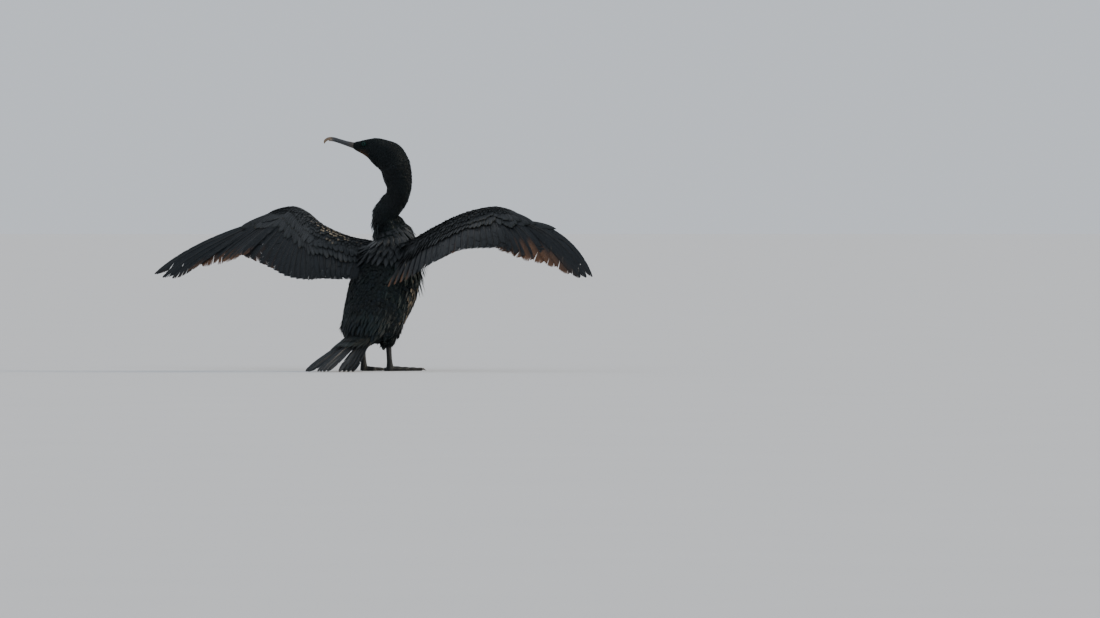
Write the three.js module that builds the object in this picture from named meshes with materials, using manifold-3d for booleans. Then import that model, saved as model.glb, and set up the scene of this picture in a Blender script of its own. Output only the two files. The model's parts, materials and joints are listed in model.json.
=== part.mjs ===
// A cormorant standing on webbed feet and tail tips with both wings held open to dry, its head
// turned over the left shoulder. Millimetres, +Z up. The bird faces -Y and its left side is +X.
import * as THREE from "three";
import Module from "manifold-3d";

const wasm = await Module();
wasm.setup();

const V = (x, y, z) => new THREE.Vector3(x, y, z);
const rad = THREE.MathUtils.degToRad;
const LEFT = 1;
const RIGHT = -1;

// Clearance between touching pieces, and the shift that brings the box's bottom centre to the origin.
const GAP = 0.3;
const CENTRING = V(-6.5, -42, 0);

// Body, neck and head are one tapering tube. Each row is x, y, z of its middle, half width,
// half depth on the back, half depth on the belly, and the heading of its left side in degrees.
const BODY_ROWS = [
  [0, 46, 54, 18, 12, 10, 0],
  [0, 31, 76, 52, 35, 34, 0],
  [0, 12, 98, 61, 46, 50, 0],
  [0, -5, 124, 65, 49, 60, 0],
  [0, -27, 157, 67, 53, 63, 0],
  [0, -48, 192, 63, 52, 58, 0],
  [0, -64, 222, 54, 46, 48, 0],
  [5, -69, 248, 40, 37, 38, 8],
  [11, -64, 268, 31, 30, 31, 25],
  [14, -57, 288, 26, 28, 27, 45],
  [3, -58, 307, 22, 29, 26, 62],
  [-8, -60, 324, 21, 28, 23, 75],
  [-12, -59, 341, 21, 29, 24, 88],
  [-11, -57, 360, 21, 31, 28, 99],
];
const TORSO_END = 8.3;
const NECK_MIDDLE = 11;
const HEAD_START = 13.3;
const BODY_SIDES = 16;

// The head has its own frame: an origin inside the nape, a heading and straight up.
const HEAD_ORIGIN = V(-5.2, -55, 381);
const HEAD_YAW = 18;
// Forward, up, half width, half depth of the crown and of the throat.
const HEAD_ROWS = [
  [0, 0, 20, 33, 29],
  [8.2, 12, 19.5, 34, 30],
  [21.5, 21, 18.5, 30.5, 28.5],
  [36.8, 29, 17.5, 25, 24],
  [53.2, 33.5, 14, 17, 17.5],
  [66.5, 35.5, 10, 10.5, 12],
  [76.7, 36.5, 7.2, 6.6, 6.8],
];
// Forward and up of the mouth line, half width, depth of the upper and of the lower bill.
const BILL_ROWS = [
  [77, 36.5, 6.4, 5.8, 5.2],
  [91, 40.2, 5.2, 5, 3.8],
  [104.3, 44.2, 4.3, 4.8, 3.2],
  [114.5, 46.6, 4, 5.2, 2.8],
  [122.7, 46.4, 3.5, 5.4, 2],
  [128.6, 43.4, 2.5, 4.6, 1],
  [131.2, 39.6, 1, 1.4, 0.5],
];
const LOWER_BILL_ROWS = 5;
const BILL_STEPS = 6;
const EYE = { forward: 54, up: 39.5, out: 9.4, radius: 5.2 };
const LID = { proud: 1.2, opening: 7.4, openingOut: 8.2 };
// Forward and up of the mouth line behind the bill, with the head's half width there.
const MOUTH_LINE = [
  [50, 30.5, 14.4],
  [58, 33.6, 12.6],
  [68, 35.6, 9.6],
  [78, 36.8, 6.8],
];
const GROOVE = { deep: 1.5, beyond: 4, high: 0.6 };

// Wing, drawn for the left side. The flesh runs between a leading line and a root line.
// Each row is the leading point, the root point and the thickness there.
const WING_FLESH = [
  [20, -74, 229, 20, -48, 205, 18],
  [44, -64, 237, 42, -28, 211, 25],
  [80, -40, 246, 76, -9, 225, 21],
  [122, -26, 266, 126, 10, 242, 18],
  [170, -44, 293, 171, -20, 267, 15],
  [214, -67, 304, 216, -53, 289, 12],
  [250, -67, 299, 248, -51, 283, 9],
  [281, -61, 286, 272, -50, 276, 6],
];
const WING_SIDES = 12;
// Roots of the secondaries and tertials, from the wrist to the shoulder.
const ARM_ROOTS = [
  [213, -55, 291],
  [193, -40, 281],
  [171, -24, 270],
  [149, -8, 257],
  [128, 5, 246],
  [92, -7, 233],
  [54, -28, 218],
];
// Tips of the same feathers. The right wing is pitched further open than the left one.
const ARM_TIPS = {
  left: [
    [273, 22, 213],
    [208, 31, 190],
    [167, 37, 174],
    [122, 43, 169],
    [88, 54, 171],
    [56, 52, 170],
    [33, 40, 171],
  ],
  right: [
    [280, 26, 230],
    [251, 49, 229],
    [222, 74, 224],
    [191, 90, 208],
    [168, 94, 197],
    [118, 78, 174],
    [60, 52, 158],
  ],
};
// Roots and tips of the primaries, from the wing's point to the wrist, and the share of its own
// length by which each one curves outward.
const HAND_ROOTS = [
  [272, -51, 277],
  [247, -52, 284],
  [220, -55, 290],
];
const HAND_TIPS = {
  left: [
    [478, 2, 179],
    [452, 4, 167],
    [398, 2, 188],
    [350, 2, 197],
    [316, 8, 204],
    [288, 18, 214],
  ],
  right: [
    [464, 4, 176],
    [440, 4, 172],
    [378, 0, 196],
    [322, 5, 208],
    [292, 20, 221],
  ],
};
const HAND_SWEEP = { left: 0.04, right: 0.1 };
// Share of a vane's length, of its width and of its thickness at each station.
const VANE = [
  [0, 0.25, 1],
  [0.3, 0.95, 1],
  [0.68, 1, 0.85],
  [0.92, 0.68, 0.7],
  [1, 0.15, 0.55],
];
const SHORT_VANE = [VANE[0], [0.45, 1, 1], [0.85, 0.75, 0.8], VANE[4]];
// Each vane rolls so that its outer edge lies over the next vane out.
const ROLL = 8;
const SUNK = 9;
const PRIMARIES = { count: 10, width: 19, thick: 1, bow: 0.05 };
const SECONDARIES = { count: 16, width: 19, thick: 0.9, bow: 0.035, sweep: 0 };
// Covert tiers. Each vane starts and ends at a distance along the flight feather below it and
// stands off it by a height there.
const ARM_COVERTS = [
  { count: 11, from: -12, to: 44, low: 1.5, high: 4.6, width: 20 },
  { count: 10, from: -20, to: 14, low: 3.5, high: 8, width: 21 },
];
const HAND_COVERTS = [
  { count: 6, from: -7, to: 46, low: 0.8, high: 4.6, width: 13 },
];
// Half height of the wrist's cut, and how far the cut runs past the feathers' ends.
const WRIST_CUT = 60;
const ALULA = {
  root: V(224, -66, 301), tip: V(274, -66, 283), outer: V(0, -1, 0.5), face: V(0, 0.5, 1),
  width: 13, thick: 1, bow: 3, roll: 0,
};

// Tail: slopes back and down from the rump until its tips lie on the ground.
const TAIL = { root: V(0, 34, 71), length: 174, outer: 156, width: 27 };
// The flesh at the tail's root tapers from a low oval to a flat edge along these distances.
const STUMP = {
  distances: [-10, 5, 25, 45, 62], half: 10, narrow: 0.72, broad: 0.9, left: 0.05, sides: 10,
};
const RECTRICES = { count: 12, width: 21, thick: 1, bow: 2, spread: 15, sunk: 22 };
// One middle feather lies flat on top of the others.
const TOP_RECTRIX = { index: 6, lift: 2.4 };
// Wet feathers cling in three clumps: the extra turn outward of each feather, right to left.
const CLUMPS = [-0.5, -1.3, -2.1, -2.9, 1.2, 0.4, -0.4, -1.2, 2.9, 2.1, 1.3, 0.5];
const TAIL_COVERTS = [
  { count: 8, from: 20, to: 82, low: 4, high: 6.5, width: 17 },
  { count: 8, from: 20, to: 76, low: -4, high: -6, width: 17 },
];
// Pointed feathers of the upper back, in tiers: row of the tube, count and half spread.
const BACK_TIERS = [
  { row: 5.5, count: 5, spread: 24 },
  { row: 6.1, count: 4, spread: 20 },
  { row: 6.7, count: 4, spread: 20 },
  { row: 7.3, count: 3, spread: 20 },
];
const BACK_VANE = { rows: 1.5, width: 19, thick: 1, bow: 4, sunk: 4, proud: 4.5 };

// Legs and feet, drawn for the left side.
const LEG_X = 28;
const HEEL = V(LEG_X, 2, 52);
const ANKLE = V(LEG_X, -3, 13);
const LEG_SIDES = 10;
// Each toe's turn from straight ahead, outward positive, its length and its claw's.
const TOES = [
  { turn: -58, length: 19, claw: 6 },
  { turn: -26, length: 43, claw: 9 },
  { turn: 2, length: 62, claw: 10 },
  { turn: 26, length: 72, claw: 9 },
];
const TOE_ROOT = V(LEG_X, -2, 0);
const TOE_SIDES = 6;
// Share of the toe's length, height and radius; then the claw's share, height and radius.
const TOE_ROWS = [[0, 5, 5], [0.35, 3.6, 4], [0.7, 3, 3.4], [1, 2.6, 2.8]];
const CLAW_ROWS = [[-0.25, 3, 2.4], [0.5, 3.4, 1.7], [1, 0.8, 0.4]];
// The web's heel behind the toes' root, its thickness and the hollow of its edge between two toes.
const WEB = { heel: 6, thick: 1.6, hollow: 0.12 };

// A closed body from points and triangles, mirrored to the right side if asked, faces outward.
function solid(points, faces, side = LEFT) {
  const vertProperties = new Float32Array(points.flatMap((p) => [p.x * side, p.y, p.z]));
  const make = (tris) =>
    new wasm.Manifold(new wasm.Mesh({ numProp: 3, vertProperties, triVerts: new Uint32Array(tris) }));
  const made = make(faces);
  if (made.volume() > 0) return made;
  const turned = [];
  for (let i = 0; i < faces.length; i += 3) turned.push(faces[i], faces[i + 2], faces[i + 1]);
  return make(turned);
}

// A closed body through rings of equal count, each end filled from its middle.
function loft(rings, side = LEFT) {
  const count = rings[0].length;
  const points = rings.flat();
  const faces = [];
  for (let i = 0; i + 1 < rings.length; i++) {
    for (let j = 0; j < count; j++) {
      const a = i * count + j;
      const b = i * count + ((j + 1) % count);
      faces.push(a, b, b + count, a, b + count, a + count);
    }
  }
  for (const [ring, turn] of [[0, true], [rings.length - 1, false]]) {
    const middle = points.length;
    const sum = rings[ring].reduce((total, p) => total.add(p), V(0, 0, 0));
    points.push(sum.divideScalar(count));
    for (let j = 0; j < count; j++) {
      const a = ring * count + j;
      const b = ring * count + ((j + 1) % count);
      faces.push(middle, turn ? b : a, turn ? a : b);
    }
  }
  return solid(points, faces, side);
}

// A thin slab from root to tip whose two faces are split alike. Its outer edge points along outer
// and its upper face along face. It arches by bow and curves outward by sweep, and stays above ground.
function vane({
  root, tip, outer, face, width, thick, bow, sweep = 0, roll = ROLL, stations = VANE, side,
}) {
  const along = tip.clone().sub(root).normalize();
  const flatSide = outer.clone().addScaledVector(along, -outer.dot(along)).normalize();
  const flatUp = flatSide.clone().cross(along);
  if (flatUp.dot(face) < 0) flatUp.negate();
  const [level, raised] = [Math.cos(rad(roll)), Math.sin(rad(roll))];
  const across = flatSide.clone().multiplyScalar(level).addScaledVector(flatUp, raised);
  const up = flatUp.clone().multiplyScalar(level).addScaledVector(flatSide, -raised);
  const points = [];
  for (const [share, wide, deep] of stations) {
    const arch = 4 * share * (1 - share);
    const middle = root.clone().lerp(tip, share).addScaledVector(flatUp, bow * arch);
    middle.addScaledVector(flatSide, sweep * arch);
    for (const [edge, skin] of [[1, 1], [-1, 1], [-1, -1], [1, -1]]) {
      const corner = middle.clone().addScaledVector(across, (edge * wide * width) / 2);
      corner.addScaledVector(up, (skin * deep * thick) / 2);
      corner.z = Math.max(corner.z, skin > 0 ? thick / 2 : 0);
      points.push(corner);
    }
  }
  const faces = [];
  for (let i = 0; i + 1 < stations.length; i++) {
    const [a, b, c, d, e, f, g, h] = Array.from({ length: 8 }, (_, k) => 4 * i + k);
    faces.push(a, b, f, a, f, e, d, g, c, d, h, g, b, c, g, b, g, f, d, a, e, d, e, h);
  }
  const z = points.length - 4;
  faces.push(1, 0, 3, 1, 3, 2, z, z + 1, z + 2, z, z + 2, z + 3);
  return solid(points, faces, side);
}

const joined = (solids) => solids.reduce((whole, piece) => whole.add(piece));

function largest(whole) {
  return whole.decompose().reduce((best, piece) => (piece.volume() > best.volume() ? piece : best));
}

const model = new THREE.Group();
model.position.copy(CENTRING);

function addPart(name, whole, look) {
  const mesh = largest(whole).getMesh();
  const geometry = new THREE.BufferGeometry();
  geometry.setAttribute("position", new THREE.BufferAttribute(mesh.vertProperties, 3));
  geometry.setIndex(new THREE.BufferAttribute(mesh.triVerts, 1));
  geometry.computeVertexNormals();
  const part = new THREE.Mesh(geometry, new THREE.MeshStandardMaterial(look));
  part.name = name;
  model.add(part);
}

const PLUMAGE = { color: 0x14191a, roughness: 0.6, metalness: 0 };
const WING_LOOK = { color: 0x1d2324, roughness: 0.6, metalness: 0 };
const SKIN_LOOK = { color: 0x1a1d1e, roughness: 0.5, metalness: 0 };
const BILL_LOOK = { color: 0x5a5a52, roughness: 0.45, metalness: 0 };
const EYE_LOOK = { color: 0x1d7f6e, roughness: 0.1, metalness: 0 };

// Body, neck and head.
const headForward = V(Math.cos(rad(HEAD_YAW)), Math.sin(rad(HEAD_YAW)), 0);
const headLeft = V(-headForward.y, headForward.x, 0);

function onHead(forward, up, out = 0) {
  const point = HEAD_ORIGIN.clone().addScaledVector(headForward, forward);
  return point.addScaledVector(headLeft, out).add(V(0, 0, up));
}

const bodyRows = [
  ...BODY_ROWS,
  ...HEAD_ROWS.map(([forward, up, ...girth]) => [
    ...onHead(forward, up).toArray(), ...girth, 90 + HEAD_YAW,
  ]),
];
const lastRow = bodyRows.length - 1;
const spine = new THREE.CatmullRomCurve3(bodyRows.map((row) => V(row[0], row[1], row[2])));
const girth = new THREE.CatmullRomCurve3(bodyRows.map((row) => V(row[3], row[4], row[5])));

// Directions at a row of the tube: along it, to the bird's left and to its back.
function bodyFrame(row) {
  const along = spine.getTangent(row / lastRow);
  const below = Math.min(Math.floor(row), lastRow - 1);
  const heading = rad(THREE.MathUtils.lerp(bodyRows[below][6], bodyRows[below + 1][6], row - below));
  const left = V(Math.cos(heading), Math.sin(heading), 0);
  left.addScaledVector(along, -left.dot(along)).normalize();
  return { middle: spine.getPoint(row / lastRow), along, left, back: along.clone().cross(left) };
}

// A point of the tube's surface: angle 0 is the left side, 90 the back, 270 the belly.
function onBody(row, angle, proud = 0) {
  const { middle, left, back } = bodyFrame(row);
  const size = girth.getPoint(row / lastRow);
  const depth = Math.sin(angle) > 0 ? size.y : size.z;
  middle.addScaledVector(left, Math.cos(angle) * (size.x + proud));
  return middle.addScaledVector(back, Math.sin(angle) * (depth + proud));
}

function bodyRing(row, proud = 0) {
  const angles = Array.from({ length: BODY_SIDES }, (_, k) => (k / BODY_SIDES) * 2 * Math.PI);
  return angles.map((angle) => onBody(row, angle, proud));
}

// A stretch of the tube. Above the first stretch it starts a gap further along.
function bodyStretch(from, to, proud = 0) {
  const step = 0.5;
  const rows = [];
  for (let row = from; row < to - step / 3; row += step) rows.push(row);
  const rings = [...rows, to].map((row) => bodyRing(row, proud));
  if (from > 0) {
    const { along } = bodyFrame(from);
    rings[0].forEach((point) => point.addScaledVector(along, GAP));
  }
  return loft(rings);
}

// The head with a lid round each eye and the mouth line cut as a groove on each side.
function head() {
  let whole = bodyStretch(HEAD_START, lastRow);
  for (const side of [LEFT, RIGHT]) {
    const eye = onHead(EYE.forward, EYE.up, EYE.out * side);
    const lid = ball(eye, EYE.radius + LID.proud);
    const opening = ball(onHead(EYE.forward, EYE.up, (EYE.out + LID.openingOut) * side), LID.opening);
    whole = whole.add(lid).subtract(opening).subtract(ball(eye, EYE.radius + GAP));
    const groove = MOUTH_LINE.map(([forward, up, half]) => {
      const [inner, outer] = [half - GROOVE.deep, half + GROOVE.beyond];
      return [[inner, -0.5], [outer, -0.5], [outer, 0.5], [inner, 0.5]].map(([out, level]) =>
        onHead(forward, up + level * GROOVE.high, out * side));
    });
    whole = whole.subtract(loft(groove));
  }
  return whole;
}

function ball(centre, radius, across = 12, down = 8) {
  const rings = [];
  for (let i = 1; i < down; i++) {
    const tilt = (i / down) * Math.PI;
    const ring = [];
    for (let j = 0; j < across; j++) {
      const turn = (j / across) * 2 * Math.PI;
      const offset = V(Math.cos(turn) * Math.sin(tilt), Math.sin(turn) * Math.sin(tilt), Math.cos(tilt));
      ring.push(centre.clone().addScaledVector(offset, radius));
    }
    rings.push(ring);
  }
  return loft(rings);
}

// Half of the bill: a D section that is flat along the mouth line.
function bill(rows, depthColumn, up) {
  const line = new THREE.CatmullRomCurve3(rows.map(([forward, rise]) => onHead(forward, rise)));
  const start = bodyFrame(lastRow).along;
  const rings = rows.map((row, i) => {
    const along = i === 0 ? start : line.getTangent(i / (rows.length - 1));
    const rise = along.clone().cross(headLeft).normalize().multiplyScalar(up);
    const middle = i === 0 ? spine.getPoint(1).addScaledVector(start, GAP) : onHead(row[0], row[1]);
    middle.addScaledVector(rise, GAP / 2);
    return Array.from({ length: BILL_STEPS + 1 }, (_, k) => {
      const angle = (k / BILL_STEPS) * Math.PI;
      const point = middle.clone().addScaledVector(headLeft, Math.cos(angle) * row[2]);
      return point.addScaledVector(rise, Math.sin(angle) * row[depthColumn]);
    });
  });
  return loft(rings);
}

// Wings.
const asPoints = (rows) => rows.map((row) => V(...row));
const armRoots = new THREE.CatmullRomCurve3(asPoints(ARM_ROOTS));
const handRoots = new THREE.CatmullRomCurve3(asPoints(HAND_ROOTS));

// What differs between the two wings: the lines of their tips and the curve of their primaries.
function openWing(side) {
  const name = side === LEFT ? "left" : "right";
  return {
    armTips: new THREE.CatmullRomCurve3(asPoints(ARM_TIPS[name])),
    handTips: new THREE.CatmullRomCurve3(asPoints(HAND_TIPS[name])),
    primaries: { ...PRIMARIES, sweep: HAND_SWEEP[name] },
  };
}

function wingFlesh(side) {
  const leading = WING_FLESH.map((row) => V(row[0], row[1], row[2]));
  const trailing = WING_FLESH.map((row) => V(row[3], row[4], row[5]));
  const rings = WING_FLESH.map((row, i) => {
    const chord = trailing[i].clone().sub(leading[i]);
    const before = leading[Math.max(i - 1, 0)];
    const span = leading[Math.min(i + 1, leading.length - 1)].clone().sub(before);
    const upper = chord.clone().cross(span).normalize();
    return Array.from({ length: WING_SIDES }, (_, k) => {
      const angle = (k / WING_SIDES) * 2 * Math.PI;
      const share = (1 - Math.cos(angle)) / 2;
      const rise = Math.sin(angle) * row[6] * 0.5 * (1.1 - 0.3 * share);
      return leading[i].clone().addScaledVector(chord, share).addScaledVector(upper, rise);
    });
  });
  return loft(rings, side);
}

// A row of flight feathers: each has its root, tip, outer direction and upper face. The outer
// direction is taken a little way along the row, at the middle of the feathers' length.
function flightRow(roots, tips, { count, width, thick, bow, sweep }) {
  const step = 0.03;
  const middle = (share) => roots.getPoint(share).lerp(tips.getPoint(share), 0.55);
  return Array.from({ length: count }, (_, i) => {
    const share = i / (count - 1);
    const [root, tip] = [roots.getPoint(share), tips.getPoint(share)];
    const outer = middle(Math.max(share - step, 0)).sub(middle(Math.min(share + step, 1))).normalize();
    const along = tip.clone().sub(root);
    const length = along.length();
    const face = outer.clone().cross(along).normalize();
    if (face.z < 0) face.negate();
    return { root, tip, outer, face, width, thick, bow: bow * length, sweep: sweep * length };
  });
}

// A point over a flight feather, at a distance along it and a height off its face.
function over(feather, distance, height) {
  const { root, tip, face, bow } = feather;
  const share = distance / root.distanceTo(tip);
  const arch = 4 * Math.max(share, 0) * (1 - share);
  return root.clone().lerp(tip, share).addScaledVector(face, bow * arch + height);
}

function coverts(roots, tips, flight, tier, side) {
  return flightRow(roots, tips, { ...flight, count: tier.count }).map((below) => vane({
    ...below, root: over(below, tier.from, tier.low), tip: over(below, tier.to, tier.high),
    width: tier.width, bow: 1, sweep: 0, stations: SHORT_VANE, side,
  }));
}

function wing(side) {
  const { armTips, handTips, primaries } = openWing(side);
  const fan = [
    ...flightRow(handRoots, handTips, primaries),
    ...flightRow(armRoots, armTips, SECONDARIES),
  ].map((feather) => vane({ ...feather, root: over(feather, -SUNK, 0), side }));
  for (const tier of ARM_COVERTS) fan.push(...coverts(armRoots, armTips, SECONDARIES, tier, side));
  for (const tier of HAND_COVERTS) fan.push(...coverts(handRoots, handTips, primaries, tier, side));
  return joined([wingFlesh(side), ...fan, vane({ ...ALULA, side })]);
}

// The wing is parted at the wrist by a thin cut between the innermost primary and the next feather.
function partedWing(side) {
  const { armTips, handTips } = openWing(side);
  const [handRoot, armRoot] = [handRoots.getPoint(1), armRoots.getPoint(0)];
  const root = handRoot.clone().add(armRoot).divideScalar(2);
  const tip = handTips.getPoint(1).add(armTips.getPoint(0)).divideScalar(2);
  const along = tip.clone().sub(root).normalize();
  const through = handRoot.sub(armRoot).cross(along).normalize();
  const across = along.clone().cross(through).multiplyScalar(GAP / 2);
  const sheet = [-WRIST_CUT, root.distanceTo(tip) + WRIST_CUT].map((distance) =>
    [[-1, -1], [1, -1], [1, 1], [-1, 1]].map(([level, edge]) =>
      root.clone().addScaledVector(along, distance).addScaledVector(through, level * WRIST_CUT)
        .addScaledVector(across, edge)));
  const pieces = wing(side).subtract(loft(sheet, side)).subtract(torsoRoom).decompose();
  return pieces.sort((a, b) => b.volume() - a.volume());
}

// Tail. A feather's tip touches the ground, so its own length says how far it slopes.
function rectrix(i, count, spread, turned = 0) {
  const share = (i / (count - 1)) * 2 - 1;
  const turn = rad(share * spread + turned);
  const reach = THREE.MathUtils.lerp(TAIL.length, TAIL.outer, share * share);
  const fall = Math.asin(TAIL.root.z / reach);
  const flat = reach * Math.cos(fall);
  const root = TAIL.root.clone().add(V((share * TAIL.width) / 2, 0, 0));
  const tip = V(root.x + Math.sin(turn) * flat, root.y + Math.cos(turn) * flat, RECTRICES.thick / 2);
  const outer = V(Math.sign(share), 0, 0);
  return { ...RECTRICES, root, tip, outer, face: V(0, Math.sin(fall), Math.cos(fall)) };
}

function tail() {
  const { count, spread, sunk } = RECTRICES;
  const fan = CLUMPS.map((turned, i) => {
    const feather = rectrix(i, count, spread, turned);
    if (i !== TOP_RECTRIX.index) return vane({ ...feather, root: over(feather, sunk, 0) });
    return vane({ ...feather, root: over(feather, sunk, TOP_RECTRIX.lift), roll: 0 });
  });
  for (const tier of TAIL_COVERTS) {
    for (let i = 0; i < tier.count; i++) {
      const below = rectrix(i, tier.count, spread);
      const lie = { root: over(below, tier.from, tier.low), tip: over(below, tier.to, tier.high) };
      fan.push(vane({ ...below, ...lie, width: tier.width, stations: SHORT_VANE }));
    }
  }
  return joined([stump(), ...fan]);
}

function stump() {
  const axis = rectrix(0.5, 2, 0);
  const end = STUMP.distances.at(-1);
  return loft(STUMP.distances.map((distance) => {
    const share = Math.max(distance, 0) / end;
    const wide = TAIL.width * THREE.MathUtils.lerp(STUMP.narrow, STUMP.broad, share);
    const high = STUMP.half * (1 + STUMP.left - share);
    return Array.from({ length: STUMP.sides }, (_, k) => {
      const angle = (k / STUMP.sides) * 2 * Math.PI;
      return over(axis, distance, Math.sin(angle) * high).add(V(Math.cos(angle) * wide, 0, 0));
    });
  }));
}

// Pointed back feathers, each laid down the back from a row of the tube.
function backFeathers() {
  const { rows, sunk, proud } = BACK_VANE;
  return BACK_TIERS.flatMap(({ row, count, spread }) => Array.from({ length: count }, (_, i) => {
    const share = (i / (count - 1)) * 2 - 1;
    const angle = rad(90 - share * spread);
    const { left, back } = bodyFrame(row);
    return vane({
      ...BACK_VANE, root: onBody(row, angle, -sunk), tip: onBody(row - rows, angle, proud),
      outer: left.multiplyScalar(share < 0 ? -1 : 1), face: back, stations: SHORT_VANE,
    });
  }));
}

// Legs. Each length of a leg ends level, so that it meets the next one face to face.
// A row is x, y, z of the middle, the half width and the half depth.
function limb(rows, side) {
  const line = new THREE.CatmullRomCurve3(rows.map((row) => V(row[0], row[1], row[2])));
  const rings = rows.map((row, i) => {
    const end = i === 0 || i === rows.length - 1;
    const along = end ? V(0, 0, -1) : line.getTangent(i / (rows.length - 1));
    const across = V(1, 0, 0).addScaledVector(along, -along.x).normalize();
    const fore = along.clone().cross(across);
    return Array.from({ length: LEG_SIDES }, (_, k) => {
      const angle = (k / LEG_SIDES) * 2 * Math.PI;
      const point = V(row[0], row[1], row[2]).addScaledVector(across, Math.cos(angle) * row[3]);
      return point.addScaledVector(fore, Math.sin(angle) * row[4]);
    });
  });
  return loft(rings, side);
}

const thigh = (side) =>
  limb([
    [LEG_X - 2, -8, 108, 24, 28],
    [LEG_X, -3, 88, 23, 25],
    [LEG_X, 1, 72, 17, 18],
    [LEG_X, 2, 60, 10, 12],
    [HEEL.x, HEEL.y, HEEL.z + GAP / 2, 6.2, 7.4],
  ], side);

const shank = (side) =>
  limb([
    [HEEL.x, HEEL.y, HEEL.z - GAP / 2, 6, 7.2],
    [LEG_X, 1.5, 44, 4.6, 6.2],
    [LEG_X, 0, 28, 4.2, 6],
    [LEG_X, -2, 19, 4.8, 6.4],
    [ANKLE.x, ANKLE.y, ANKLE.z + GAP / 2, 5.6, 6.8],
  ], side);

const ankle = (side) =>
  limb([
    [ANKLE.x, ANKLE.y, ANKLE.z - GAP / 2, 5.6, 6.8],
    [ANKLE.x, ANKLE.y, 8, 6.2, 8],
    [ANKLE.x, ANKLE.y, 1, 6, 9],
  ], side);

const ahead = (turn) => V(Math.sin(rad(turn)), -Math.cos(rad(turn)), 0);

// A toe or claw: a round rod that is flattened where it meets the ground. It starts at a point of
// the ground, and each row is the share of its length, the height and the radius there.
function toeRod(start, turn, length, rows, side) {
  const line = rows.map(([share, z]) => start.clone().addScaledVector(ahead(turn), length * share).setZ(z));
  const rings = line.map((middle, i) => {
    const after = line[Math.min(i + 1, line.length - 1)];
    const along = after.clone().sub(line[Math.max(i - 1, 0)]).normalize();
    const across = V(-along.y, along.x, 0).normalize();
    const rise = along.clone().cross(across);
    return Array.from({ length: TOE_SIDES }, (_, k) => {
      const angle = ((k + 0.5) / TOE_SIDES) * 2 * Math.PI;
      const point = middle.clone().addScaledVector(across, Math.cos(angle) * rows[i][2]);
      point.addScaledVector(rise, Math.sin(angle) * rows[i][2]);
      point.z = Math.max(point.z, 0);
      return point;
    });
  });
  return loft(rings, side);
}

function web(tips, side) {
  const heel = TOE_ROOT.clone().add(V(0, WEB.heel, 0));
  const hollows = tips.slice(1).map((tip, i) =>
    tip.clone().add(tips[i]).divideScalar(2).lerp(TOE_ROOT, WEB.hollow));
  const edge = tips.flatMap((tip, i) => (i < hollows.length ? [tip, hollows[i]] : [tip]));
  const outline = new THREE.Shape([heel, ...edge].map((point) => new THREE.Vector2(point.x, point.y)));
  return fromGeometry(new THREE.ExtrudeGeometry(outline, { depth: WEB.thick, bevelEnabled: false }), side);
}

function foot(side) {
  const tips = TOES.map(({ turn, length }) => TOE_ROOT.clone().addScaledVector(ahead(turn), length));
  const toes = TOES.flatMap(({ turn, length, claw }, i) => [
    toeRod(TOE_ROOT, turn, length, TOE_ROWS, side), toeRod(tips[i], turn, claw, CLAW_ROWS, side),
  ]);
  return joined([ankle(side), web(tips, side), ...toes]);
}

// A geometry's shared corners are merged by rounding before it becomes a solid.
function fromGeometry(geometry, side) {
  const positions = geometry.attributes.position;
  const seen = new Map();
  const points = [];
  const order = Array.from({ length: positions.count }, (_, i) => {
    const point = V(positions.getX(i), positions.getY(i), positions.getZ(i));
    const key = point.toArray().map((value) => value.toFixed(3)).join();
    if (!seen.has(key)) {
      seen.set(key, points.length);
      points.push(point);
    }
    return seen.get(key);
  });
  const faces = geometry.index ? Array.from(geometry.index.array, (i) => order[i]) : order;
  return solid(points, faces, side);
}

const torsoRoom = bodyStretch(0, TORSO_END, GAP);

addPart("torso", joined([bodyStretch(0, TORSO_END), ...backFeathers()]), PLUMAGE);
addPart("neck_lower", bodyStretch(TORSO_END, NECK_MIDDLE), PLUMAGE);
addPart("neck_upper", bodyStretch(NECK_MIDDLE, HEAD_START), PLUMAGE);
addPart("head", head(), PLUMAGE);
addPart("bill_upper", bill(BILL_ROWS, 3, 1), BILL_LOOK);
addPart("bill_lower", bill(BILL_ROWS.slice(0, LOWER_BILL_ROWS), 4, -1), BILL_LOOK);
for (const [name, side] of [["left", LEFT], ["right", RIGHT]]) {
  addPart(`eye_${name}`, ball(onHead(EYE.forward, EYE.up, EYE.out * side), EYE.radius), EYE_LOOK);
  const [arm, hand] = partedWing(side);
  addPart(`wing_${name}_arm`, arm, WING_LOOK);
  addPart(`wing_${name}_hand`, hand, WING_LOOK);
  addPart(`thigh_${name}`, thigh(side).subtract(torsoRoom), PLUMAGE);
  addPart(`shank_${name}`, shank(side), SKIN_LOOK);
  addPart(`foot_${name}`, foot(side), SKIN_LOOK);
}
addPart("tail", tail().subtract(torsoRoom), WING_LOOK);

export default model;
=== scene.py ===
# %% [markdown]
# # A cormorant drying its wings
# The bird stands upright on webbed feet, leans back on the tips of its tail and holds both wings
# open. Its neck rises in a shallow S and its head is turned over its left shoulder.
# The cells below state its measures and its finishes, and then build it from the inside out: one
# skin, every feather rooted in that skin, bill, eyes and feet, and last the light and the camera.

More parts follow.
